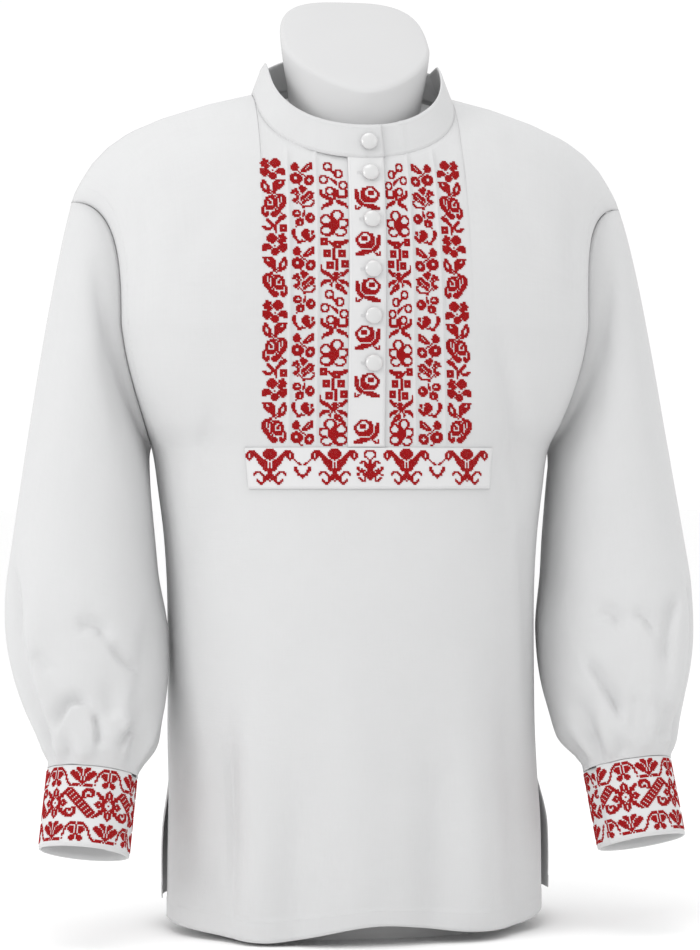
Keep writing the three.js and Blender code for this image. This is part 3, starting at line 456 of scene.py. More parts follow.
def thread_at(x, z):
    """Place across of the front, turned back into its thread line by a few repeats."""
    rise = (z - UNDERARM) / (BIB_TOP - UNDERARM)
    q = np.array(x, float)
    for _ in range(4):
        q = x - np.interp(q, LEAN["q"], LEAN["shift"]) * rise
    low = (x - sway_of(FRONT, z)) * SIDE_X / width_of(FRONT, z)
    return np.where(z <= UNDERARM, low, q)


print("creases:", len(FRONT_CREASES["x0"]), "in front,", len(BACK_CREASES["x0"]), "behind")

# %% [markdown]
# ## From points to cloth
# Cloth has two sides, so each piece is a shell: its outer grid, the same grid moved in by the
# cloth's thickness, and a rim. The rim is one more row of points just beyond each free edge,
# halfway through the cloth, which makes the edge round like a turned fold.
# %% Mesh builders
made = {}


def add_mesh(name, points, faces, uv=None):
    """Put arrays into a Blender mesh: points in millimetres, faces as arrays of corners. The
    faces are turned round if their volume, the sum of a . (b x c), is below zero."""
    fan = np.concatenate([np.stack([f[:, 0], f[:, k], f[:, k + 1]], 1)
                          for f in faces for k in range(1, f.shape[1] - 1)])
    a, b, c = points[fan[:, 0]], points[fan[:, 1]], points[fan[:, 2]]
    if np.einsum("ij,ij->", a, np.cross(b, c)) < 0:
        faces = [f[:, ::-1] for f in faces]
    mesh = bpy.data.meshes.new(name)
    corners = np.concatenate([f.reshape(-1) for f in faces]).astype(np.int32)
    counts = np.concatenate([np.full(len(f), f.shape[1]) for f in faces]).astype(np.int32)
    placed = (points - [0, MIDDLE_Y, 0]) * MM
    mesh.vertices.add(len(points))
    mesh.vertices.foreach_set("co", placed.astype(np.float32).reshape(-1))
    mesh.loops.add(len(corners))
    mesh.loops.foreach_set("vertex_index", corners)
    mesh.polygons.add(len(counts))
    starts = np.concatenate([[0], np.cumsum(counts)[:-1]]).astype(np.int32)
    mesh.polygons.foreach_set("loop_start", starts)
    mesh.polygons.foreach_set("loop_total", counts)
    mesh.update(calc_edges=True)
    if uv is not None:
        layer = mesh.uv_layers.new(name="cloth")
        layer.data.foreach_set("uv", (uv[corners] * MM).astype(np.float32).reshape(-1))
    mesh.validate()
    mesh.shade_smooth()
    obj = bpy.data.objects.new(name, mesh)
    bpy.context.scene.collection.objects.link(obj)
    made[name] = obj
    return obj


def grid_normals(grid, wrap):
    """Normals of a grid: the difference across times the difference up."""
    if wrap:
        across = np.roll(grid, -1, 1) - np.roll(grid, 1, 1)
    else:
        across = np.gradient(grid, axis=1)
    return unit(np.cross(across, np.gradient(grid, axis=0)))


def shell(name, grid, uv, thickness, sign=1, wrap=False, slit=None, rim=0.3):
    """A closed shell of cloth behind an outer grid, with rounded rims. A slit leaves out one
    column of faces from a row upwards."""
    normals = grid_normals(grid, wrap) * sign
    inner = grid - normals * thickness
    middle = (grid + inner) / 2
    reach = rim * thickness

    def extend(array, centre, axis):
        """One more row at both ends: the middle's edge moved on by the rim's reach."""
        first, second = np.take(centre, 0, axis), np.take(centre, 1, axis)
        last, inside = np.take(centre, -1, axis), np.take(centre, -2, axis)
        start = first + unit(first - second) * reach
        end = last + unit(last - inside) * reach
        return np.concatenate([np.expand_dims(start, axis), array, np.expand_dims(end, axis)], axis)

    outer, low, centre = (extend(a, middle, 0) for a in (grid, inner, middle))
    uv = np.concatenate([uv[:1], uv, uv[-1:]], 0)
    shared = np.zeros(outer.shape[:2], bool)
    shared[[0, -1]] = True
    if not wrap:
        outer, low = extend(outer, centre, 1), extend(low, centre, 1)
        uv = np.concatenate([uv[:, :1], uv, uv[:, -1:]], 1)
        shared = np.pad(shared, ((0, 0), (1, 1)), constant_values=True)
    rows, cols = shared.shape
    top = np.arange(rows * cols).reshape(rows, cols)
    under = np.where(shared, top, top + rows * cols)
    column = np.arange(cols if wrap else cols - 1)
    keep = np.ones((rows - 1, len(column)), bool)
    if slit:
        keep[slit["row"] + 1:, slit["column"] + 1] = False

    def quads(index):
        a, b = index[:-1][:, column], index[:-1][:, (column + 1) % cols]
        c, d = index[1:][:, (column + 1) % cols], index[1:][:, column]
        return np.stack([a, b, c, d], -1)[keep]

    front, back = quads(top), quads(under)[:, ::-1]
    faces = [front, back]
    if slit:
        edges = np.concatenate([front[:, [k, (k + 1) % 4]] for k in range(4)])
        code = edges[:, 0] * rows * cols + edges[:, 1]
        reverse = edges[:, 1] * rows * cols + edges[:, 0]
        free = edges[~np.isin(code, reverse)]
        a, b = free[:, 0], free[:, 1]
        wall = np.concatenate([np.stack([b, a, under.reshape(-1)[a]], 1),
                               np.stack([b, under.reshape(-1)[a], under.reshape(-1)[b]], 1)])
        solid = (wall[:, 0] != wall[:, 1]) & (wall[:, 1] != wall[:, 2]) & (wall[:, 0] != wall[:, 2])
        faces.append(wall[solid])
    points = np.concatenate([outer.reshape(-1, 3), low.reshape(-1, 3)])
    used, renamed = np.unique(np.concatenate([f.reshape(-1) for f in faces]), return_inverse=True)
    sizes = np.cumsum([f.size for f in faces])[:-1]
    faces = [part.reshape(f.shape) for part, f in zip(np.split(renamed, sizes), faces)]
    both_uv = np.concatenate([uv.reshape(-1, 2)] * 2)
    obj = add_mesh(name, points[used], faces, both_uv[used])
    triangles = sum(len(f) * (f.shape[1] - 2) for f in faces)
    print(f"{name}: {triangles} triangles")
    return obj


def fused(fixed, *values, gap=0.8):
    """Sorted values: all the fixed ones, and the others where they aren't near doubles."""
    kept = list(fixed)
    for value in np.concatenate(values):
        if all(abs(value - other) >= gap for other in kept):
            kept.append(value)
    return np.array(sorted(kept))


def neck_lines(x):
    """Thread lines of the front that reach the neckline at these places across."""
    q = np.array(x, float)
    for _ in range(8):
        q = x - lean_at(FRONT, q, BIB_TOP)
    return q


# %% [markdown]
# ## Front and back
# The front is one panel with a slit from the neck down to the band. Its thread lines are closer
# together at the tucks, so that these stay sharp, and at the sides, where the body turns.
# %% Front
STEP = 3.4
tuck_lines = [tuck + share * TUCK["half"] for tuck in TUCKS for share in (-1, -0.5, 0, 0.5, 1)]
edges_q = [-SIDE_X, SIDE_X, SLIT["from"], SLIT["to"], -187.2, 187.2, -186, 186, -184, 184]
neck_turn = np.radians([54, 60, 66, 72, 77, 82, 86, 90])
neck_side = np.concatenate([NECK_HALF * np.sin(neck_turn), NECK_HALF + np.array([0.7, 1.8, 3.6])])
neck_side = np.concatenate([-neck_side, neck_side])
front_lines = fused(np.concatenate([edges_q, neck_lines(neck_side)]), tuck_lines,
                    np.arange(-182, 182.1, STEP))
levels = fused([0, HEM_TURN["height"] - 1, HEM_TURN["height"] + 0.5, UNDERARM, TOP_LEVEL],
               np.arange(4, TOP_LEVEL - 1, 4.4))
q, level = np.meshgrid(front_lines, levels)
z = height_of(FRONT, q, level)
front_grid = surface(FRONT, q, z, level=level)
slit = {"row": int(np.argmin(np.abs(levels - UNDERARM))),
        "column": int(np.argmin(np.abs(front_lines - SLIT["from"])))}
front_cloth = shell("front_cloth", front_grid, np.stack([q, level], -1), CLOTH, slit=slit)

# %% Back
back_lines = fused(np.concatenate([[-SIDE_X, SIDE_X, -187, 187, -185.5, 185.5, -183.5, 183.5],
                                   neck_side]), np.arange(-181, 181.1, 3.9))
q, level = np.meshgrid(back_lines, levels)
z = height_of(BACK, q, level)
back_grid = surface(BACK, q, z, level=level)
on_shoulder = (level == TOP_LEVEL) & (np.abs(back_grid[..., 0]) > NECK_HALF - 1)
back_grid[..., 1] += SEAM_GAP * on_shoulder
back_cloth = shell("back_cloth", back_grid, np.stack([q, level], -1), CLOTH, sign=-1)

# %% [markdown]
# ## Sleeves
# A sleeve starts on the armhole's own loop, widens to the elbow and is gathered into the cuff.
# Rings are placed by a short table and joined by a Catmull-Rom curve along the arm. The
# gathers are ripples whose number is fixed by the pleats that fit round the cuff.
# %% Armhole and cuff points
ARMHOLE_ROWS = (447, 468, 491, 514, 537, 560, 582, 603, 623, 642, 660)


def armhole_point(side, degrees):
    """The edge of the front (0 to 180 degrees) and of the back (180 to 360), at 18 degrees
    for each row of the armhole."""
    turned = np.minimum(degrees, 360 - degrees)
    level = np.interp((180 - turned) / 18, np.arange(len(ARMHOLE_ROWS)), ARMHOLE_ROWS)
    q = np.full(np.shape(degrees), float(side * SIDE_X))
    front = base_point(FRONT, q, height_of(FRONT, q, level))
    back = base_point(BACK, q, height_of(BACK, q, level))
    return np.where((degrees <= 180)[..., None], front, back)


def cuff_dip(turned):
    """How far the cuff's inner end dips, by degrees from its outer end."""
    room = STIFFENED + SEAM_GAP + CUFF["dip_room"]
    return smooth(CUFF["dip_from"], CUFF["dip_to"], turned) * room


def cuff_point(side, down, degrees, out=0.0):
    """A tilted elliptic tube: down runs from 0 at its top to 1 at its bottom, 0 degrees is its
    front and 90 its outer side."""
    top, bottom = np.array(CUFF["top"], float), np.array(CUFF["bottom"], float)
    axis = unit(bottom - top)
    front = unit(np.array([0, -1, 0]) + axis * axis[1])
    outward = unit(np.cross(axis, front))
    outward = outward if outward[0] > 0 else -outward
    down, degrees, out = np.broadcast_arrays(down, degrees, out)
    angle = np.radians(degrees)
    point = (top + down[..., None] * (bottom - top)
             + outward * ((CUFF["half_width"] + out) * np.sin(angle))[..., None]
             + front * ((CUFF["half_depth"] + out) * np.cos(angle))[..., None])
    return point * [side, 1, 1]


cuff_height = float(np.linalg.norm(np.array(CUFF["top"]) - np.array(CUFF["bottom"])))


def sleeve_ring(side, row, degrees):
    """A ring of the sleeve: a superellipse between its outer and inner points, 0 degrees
    outside and 90 in front."""
    read = {name: values[row] for name, values in SLEEVE.items()}
    c, s = np.cos(np.radians(degrees)), np.sin(np.radians(degrees))
    across, depth = (np.sign(v) * np.abs(v) ** (2 / SLEEVE_POWER) for v in (c, s))
    forward = read["half_y"] * depth
    x = (read["out_x"] + read["in_x"]) / 2 + (read["out_x"] - read["in_x"]) / 2 * across
    z = (read["out_z"] + read["in_z"]) / 2 + (read["out_z"] - read["in_z"]) / 2 * across
    point = np.stack([side * x, read["mid_y"] - forward, z + read["tilt"] * forward], -1)
    push = HEAD_PUSH * np.abs(s) ** 0.6 * (1 - read["head"]) * math.sqrt(row + 1)
    start = armhole_point(side, degrees)
    joined = start + (point - start) * read["head"]
    joined[..., 0] += side * push
    return joined


def sleeve_relief(ring, degrees, side):
    """Ripples of the gathers plus the long soft folds, in millimetres out."""
    last = len(SLEEVE["head"]) - 1
    gather = smooth(8.6, last - 0.8, ring) * (1 - 0.75 * smooth(last - 0.4, last + 1, ring))
    wave = np.radians(GATHERS * degrees) + 0.8 * np.sin(np.radians(2 * degrees + 30 * side))
    uneven = 0.75 + 0.5 * np.sin(np.radians(3 * degrees + 70 * side))
    out = 3.2 * gather * np.sin(wave) * uneven
    for angle, half, height, start, end in zip(*SLEEVE_FOLDS.values()):
        reach = smooth(start, start + 1.8, ring) * (1 - smooth(end - 1.5, end, ring))
        out = out + height * reach * np.exp(-(((degrees - angle) / half) ** 2))
    return out


def along_rings(rings, at):
    """Catmull-Rom through whole rings: the same cubic for every point of a ring."""
    last = len(rings) - 1
    k = np.clip(np.floor(at).astype(int), 0, last - 1)
    t = (at - k)[:, None, None]
    before, after = np.clip(k - 1, 0, last), np.clip(k + 2, 0, last)
    slope0 = (rings[k + 1] - rings[before]) / (k + 1 - before)[:, None, None]
    slope1 = (rings[after] - rings[k]) / (after - k)[:, None, None]
    return cubic(t, rings[k], slope0, rings[k + 1], slope1)


# %% Sleeves
SLEEVE_CREASES = {
    "left": columns(
        CREASE_COLUMNS,
        (-322, 356, -318, 300, -286, 180, 5, -3.6, -0.5),
        (-300, 262, -294, 256, -288, 240, 5, -2.6, 0.4),
        (-309, 300, -300, 260, -290, 215, 9, 2.4, 0.0),
        (-262, 280, -246, 294, -234, 272, 6, -3.6, 0.6),
        (-234, 272, -220, 250, -204, 246, 5, -3.0, 0.5),
        (-284, 186, -274, 236, -250, 214, 5, -4.6, 0.5),
        (-250, 214, -242, 196, -246, 176, 4, -3.8, 0.4),
        (-230, 198, -222, 216, -214, 190, 6, 2.4, 0.0),
        (-224, 172, -216, 198, -202, 190, 4, -3.4, 0.5),
        (-196, 300, -200, 240, -214, 190, 9, -2.2, 0.2),
        (-243, 640, -232, 540, -212, 430, 14, -2.0, 0.2),
        (-276, 600, -286, 520, -296, 430, 18, -1.6, 0.0)),
    "right": columns(
        CREASE_COLUMNS,
        (312, 318, 322, 300, 308, 246, 6, -3.4, 0.4),
        (298, 312, 284, 286, 282, 232, 6, -3.8, -0.5),
        (217, 290, 232, 300, 240, 276, 6, -3.2, 0.5),
        (248, 290, 264, 298, 272, 270, 6, -3.0, 0.5),
        (205, 252, 216, 236, 238, 192, 5, -4.2, 0.5),
        (252, 226, 244, 206, 248, 180, 6, -2.2, 0.0),
        (262, 232, 268, 206, 262, 178, 6, 2.2, 0.2),
        (284, 214, 276, 196, 274, 176, 6, -2.4, 0.2),
        (243, 640, 232, 540, 212, 430, 14, -2.2, -0.2),
        (276, 600, 288, 520, 298, 430, 18, -1.6, 0.0)),
}
BEHIND = {"left": "right", "right": "left"}
AROUND = 132
degrees = np.arange(AROUND) * 360 / AROUND
sleeve_levels = np.concatenate([np.linspace(-1, 0, 5)[:-1], np.linspace(0, 8, 68)[:-1],
                                np.linspace(8, 13, 52)])
sleeve_cloth = {}
sleeve_grids = {}
for word, side in SIDES:
    start = armhole_point(side, degrees)
    start = start + np.stack([np.full(AROUND, side * SEAM_GAP), np.zeros(AROUND),
                              -SEAM_GAP * smooth(600, 672, start[:, 2])], -1)
    rings = [start] + [sleeve_ring(side, row, degrees) for row in range(len(SLEEVE["head"]))]
    end = cuff_point(side, -2 * SEAM_GAP / cuff_height, 90 - degrees)
    rings = np.array(rings + [end])
    grid = along_rings(rings, sleeve_levels + 1)
    normals = grid_normals(grid, True) * side
    ring, turned = np.meshgrid(sleeve_levels, degrees, indexing="ij")
    relief = sleeve_relief(ring, turned, side)
    own = creases_at(SLEEVE_CREASES[word], grid[..., 0], grid[..., 2])
    hidden = creases_at(SLEEVE_CREASES[BEHIND[word]], -grid[..., 0], grid[..., 2])
    front_share = smooth(0.05, 0.35, np.sin(np.radians(turned)))
    back_share = smooth(0.05, 0.35, -np.sin(np.radians(turned)))
    near_ends = smooth(-0.6, 0.8, ring) * (1 - 0.8 * smooth(12.4, 13, ring))
    relief = relief + near_ends * (own * front_share + hidden * back_share)
    grid = grid + normals * relief[..., None]
    sleeve_grids[word] = grid
    uv = np.stack([turned * 1.2, ring * 40], -1)
    sleeve_cloth[word] = shell(f"sleeve_{word}_cloth", grid, uv, CLOTH, sign=side, wrap=True)

# %% [markdown]
# ## Cuffs, collar, placket and band
# These are folded double and stiffened, so they keep clean curves. The cuff and the collar lap
# over their own ends; the placket, its underlap and the band follow the front's own surface.
# %% Cuffs
CUFF_SWEEP = 360 + CUFF["underlap"]
cuff_cloth, cuff_grids = {}, {}
for word, side in SIDES:
    down, turned = np.meshgrid(np.linspace(0, 1, 15), np.linspace(0, CUFF_SWEEP, 150),
                               indexing="ij")
    grid = cuff_point(side, down, CUFF["end_angle"] + turned, -cuff_dip(turned))
    cuff_grids[word] = grid
    uv = np.stack([turned * 0.67, down * cuff_height], -1)
    cuff_cloth[word] = shell(f"cuff_{word}_cloth", grid, uv, STIFFENED, sign=-side)

# %% Collar


def neck_points(shape, q):
    level = np.full(np.shape(q), float(TOP_LEVEL))
    return surface(shape, q, height_of(shape, q, level))


edge_turn = np.sin(np.linspace(-math.pi / 2, math.pi / 2, 61)) * NECK_HALF
front_q = neck_lines(np.sin(np.linspace(-1, 1, 81) * math.pi / 2) * NECK_HALF)
to_left = np.concatenate([[PLACKET["to"]], front_q[front_q < PLACKET["to"] - 1][::-1]])
to_right = np.concatenate([front_q[front_q > PLACKET["from"] + 1][::-1], [PLACKET["from"]]])
neck = np.concatenate([neck_points(FRONT, to_left), neck_points(BACK, edge_turn[1:-1]),
                       neck_points(FRONT, to_right)])
run = np.concatenate([[0], np.cumsum(np.linalg.norm(np.diff(neck, axis=0), axis=1))])


def collar_points(seam, rise, out):
    """The collar leans in: its half width and depth shrink as it rises."""
    flat = unit(seam * [1, 1, 0])
    scale = np.stack([1 + (COLLAR["top_half"] - 1) * rise, 1 + (COLLAR["top_depth"] - 1) * rise,
                      np.ones(np.shape(rise))], -1)
    point = seam * scale
    point[..., 2] += COLLAR["lift"] + COLLAR["height"] * rise
    return point + flat * np.asarray(out)[..., None]


rise = np.linspace(0, 1, 11)[:, None] * np.ones(len(neck))
lapped = 1 - smooth(COLLAR["overlap"], COLLAR["overlap"] + 45, run)
lap = COLLAR["step"] * lapped * np.ones(rise.shape)
collar_grid = collar_points(np.broadcast_to(neck, rise.shape + (3,)), rise, lap)
collar_uv = np.stack([run * np.ones(rise.shape), rise * COLLAR["height"]], -1)
collar_cloth = shell("collar_cloth", collar_grid, collar_uv, STIFFENED, sign=-1)

# %% Placket, underlap and band


def strip(name, q_range, level_range, lift, thickness, steps):
    """A folded strip over the front: the front's own points, moved out by its lift."""
    q, level = np.meshgrid(np.linspace(*q_range, steps[0]), np.linspace(*level_range, steps[1]))
    z = height_of(FRONT, q, level)
    grid = surface(FRONT, q, z, lift + thickness)
    return shell(name, grid, np.stack([q, z], -1), thickness), grid


PLACKET_SPAN, BAND_SPAN = (PLACKET["from"], PLACKET["to"]), (BAND["from"], BAND["to"])
UNDER = {"thickness": 1.2, "front": 1.4}    # the underlap's own wall, and the front's before it
placket_cloth, placket_grid = strip(
    "placket_cloth", PLACKET_SPAN, (UNDERARM + 0.7, TOP_LEVEL - 0.6), SEAM_GAP, FOLDED, (14, 90))
under_cloth, under_grid = strip(
    "placket_under_cloth", PLACKET_SPAN, (UNDERARM + 2.5, TOP_LEVEL - 2),
    -(UNDER["front"] + SEAM_GAP + UNDER["thickness"]), UNDER["thickness"], (14, 90))
band_cloth, band_grid = strip(
    "chest_band_cloth", BAND_SPAN, (BAND["bottom"] + 0.8, UNDERARM - 0.7), SEAM_GAP, FOLDED,
    (90, 16))

# %% [markdown]
# ## The dress form
# A display form is one smooth moulding: a torso without limbs and a neck cut off at a slant.
# The torso is rings of the same superellipse that the shirt uses, drawn together along the
# shoulders; the neck is oval rings that tilt towards the flat cap. A union joins the two.
# %% Torso and neck


def closed_mesh(name, rings, caps, zipped=False):
    """Rings joined into a tube. Caps are the middle points of its ends; a zipped tube has its
    last ring's two halves sharing points instead of a cap."""
    count, around = rings.shape[:2]
    index = np.arange(count * around).reshape(count, around)
    if zipped:
        half = around // 2
        index[-1, half + 1:] = index[-1, 1:half][::-1]
    after = np.roll(index, -1, 1)
    faces = [np.stack([index[:-1], after[:-1], after[1:], index[1:]], -1).reshape(-1, 4)]
    points = np.concatenate([rings.reshape(-1, 3), np.array(caps, float)])
    ends = [(0, count * around, True)] + ([] if zipped else [(-1, count * around + 1, False)])
    for row, cap, down in ends:
        tri = np.stack([index[row], after[row], np.full(around, cap)], 1)
        faces.append(tri[:, ::-1] if down else tri)
    if zipped:
        quads = faces[0]
        flat = (quads[:, 2] == quads[:, 3])
        faces = [quads[~flat], quads[flat][:, :3]] + faces[1:]
        used = np.unique(np.concatenate([f.reshape(-1) for f in faces]))
        renamed = np.zeros(len(points), int)
        renamed[used] = np.arange(len(used))
        points, faces = points[used], [renamed[f] for f in faces if len(f)]
    return add_mesh(name, points, faces)


form_turn = np.sin(np.linspace(-1, 1, 61) * math.pi / 2)
form_q = SIDE_X * np.sign(form_turn) * np.abs(form_turn) ** 0.9
form_levels = np.concatenate([np.linspace(0, CHEST, 57), np.linspace(CHEST, TOP_LEVEL, 40)[1:]])


def form_side(shape):
    q, level = np.meshgrid(form_q, form_levels)
    _, _, _, apex, _ = top_of(shape, q)
    high = CHEST + (apex - CHEST) * np.sin(math.pi / 2 * (level - CHEST) / (TOP_LEVEL - CHEST))
    return base_point(shape, q, np.where(level <= CHEST, level, high))


torso_rings = np.concatenate([form_side(FORM_FRONT), form_side(FORM_BACK)[:, -2:0:-1]], 1)
form_shell = closed_mesh("form_shell", torso_rings, [(0, 0, 0)], zipped=True)

form_turns = np.arange(128) * 2 * math.pi / 128
corner = np.radians(np.linspace(0, 90, 7))
neck_rise = np.concatenate([np.linspace(0, 0.96, 40), 0.96 + 0.04 * np.sin(corner[1:]), [1, 1]])
neck_shrink = np.concatenate([np.zeros(40), FORM_CAP["edge"] * (1 - np.cos(corner[1:])), [20, 45]])
rise, turn = np.meshgrid(neck_rise, form_turns, indexing="ij")
shrink = neck_shrink[:, None]
mid_y = (FORM_NECK["front"] + FORM_NECK["back"]) / 2
half_y = (FORM_NECK["back"] - FORM_NECK["front"]) / 2
c, s = np.cos(turn), np.sin(turn)
end_power = np.where(c > 0, FORM_CAP["front_power"], FORM_CAP["back_power"])
power = 1 + (end_power - 1) * smooth(0.6, 1, rise)
half = FORM_NECK["half"] + (FORM_CAP["half"] - FORM_NECK["half"]) * smooth(0.5, 1, rise)
full_y = mid_y - half_y * np.sign(c) * np.abs(c) ** power
full_x = half * np.sign(s) * np.abs(s) ** power
neck_y = mid_y + (full_y - mid_y) * (1 - shrink / half_y)
share = (neck_y - FORM_NECK["front"]) / (2 * half_y)
neck_x = full_x * (1 - shrink / half) + FORM_CAP["turn"] * rise * (1 - share)
cap_z = FORM_CAP["front_z"] + (FORM_CAP["back_z"] - FORM_CAP["front_z"]) * share
neck_rings = np.stack([neck_x, neck_y, FORM_NECK["foot"] + (cap_z - FORM_NECK["foot"]) * rise], -1)
cap_middle = (FORM_CAP["front_z"] + FORM_CAP["back_z"]) / 2
form_neck = closed_mesh("form_neck", neck_rings, [(0, mid_y, FORM_NECK["foot"]),
                                                  (FORM_CAP["turn"] / 2, mid_y, cap_middle)])
union = form_shell.modifiers.new("join", "BOOLEAN")
union.operation = "UNION"
union.object = form_neck
bpy.context.view_layer.update()
evaluated = form_shell.evaluated_get(bpy.context.evaluated_depsgraph_get())
joined = bpy.data.meshes.new_from_object(evaluated)
form_shell.modifiers.clear()
form_shell.data = joined
bpy.data.objects.remove(made.pop("form_neck"))
joined.shade_smooth()
joined.set_sharp_from_angle(angle=math.radians(50))
print("form:", len(joined.polygons), "faces")

# %% [markdown]
# ## Buttons
# The buttons are domed, polished and sewn on by a shank, so no holes show. Each is a profile
# turned about its own axis and laid on the placket along the surface's normal.
# %% Buttons
BUTTON_PROFILE = columns("r h", (0, 0), (0.30, 0), (0.55, 0.02), (0.85, 0.05), (0.96, 0.14),
                         (1.0, 0.30), (0.985, 0.45), (0.93, 0.58), (0.82, 0.72), (0.66, 0.84),
                         (0.46, 0.93), (0.24, 0.985), (0, 1))


def button(name, point, normal):
    """Turn the profile about the normal: radius and height read from the table."""
    around = 40
    rows = np.arange(len(BUTTON_PROFILE["r"]))
    step = np.linspace(0, rows[-1], 37)[1:-1]
    radius, height = (np.interp(step, rows, BUTTON_PROFILE[key]) for key in "rh")
    turn = np.arange(around) * 2 * math.pi / around
    aside = unit(np.cross(normal, [0, 0, 1]))
    upward = np.cross(aside, normal)
    flat = np.cos(turn)[:, None] * aside + np.sin(turn)[:, None] * upward
    rings = (point + BUTTON["radius"] * radius[:, None, None] * flat
             + BUTTON["height"] * (height[:, None, None] * normal))
    return closed_mesh(name, rings, [point, point + BUTTON["height"] * normal])


def over_front(x, z, lift):
    """A point over the front at a place across and a height, lift off the cloth."""
    return surface(FRONT, thread_at(x, z), z, lift)


ON_STRIP = SEAM_GAP + FOLDED         # the outside of a folded strip over the front
ON_PLACKET = ON_STRIP + 2 * SEAM_GAP
seam_point = neck_points(FRONT, np.array([0.0]))[0]
collar_spot = collar_points(seam_point, np.array(COLLAR["button_rise"]),
                            COLLAR["step"] + SEAM_GAP + COLLAR["button_room"])
buttons = [button("button_1_domed", collar_spot, unit(np.array([0.03, -0.98, 0.17])))]
for i, z in enumerate(BUTTON["heights"]):
    x, z = np.array([BUTTON["x"], z]).reshape(2, 1)
    spot = over_front(x, z, ON_PLACKET)[0]
    normal = base_normal(FRONT, thread_at(x, z), z)[0]
    buttons.append(button(f"button_{i + 2}_domed", spot, normal))
print("buttons:", len(buttons))

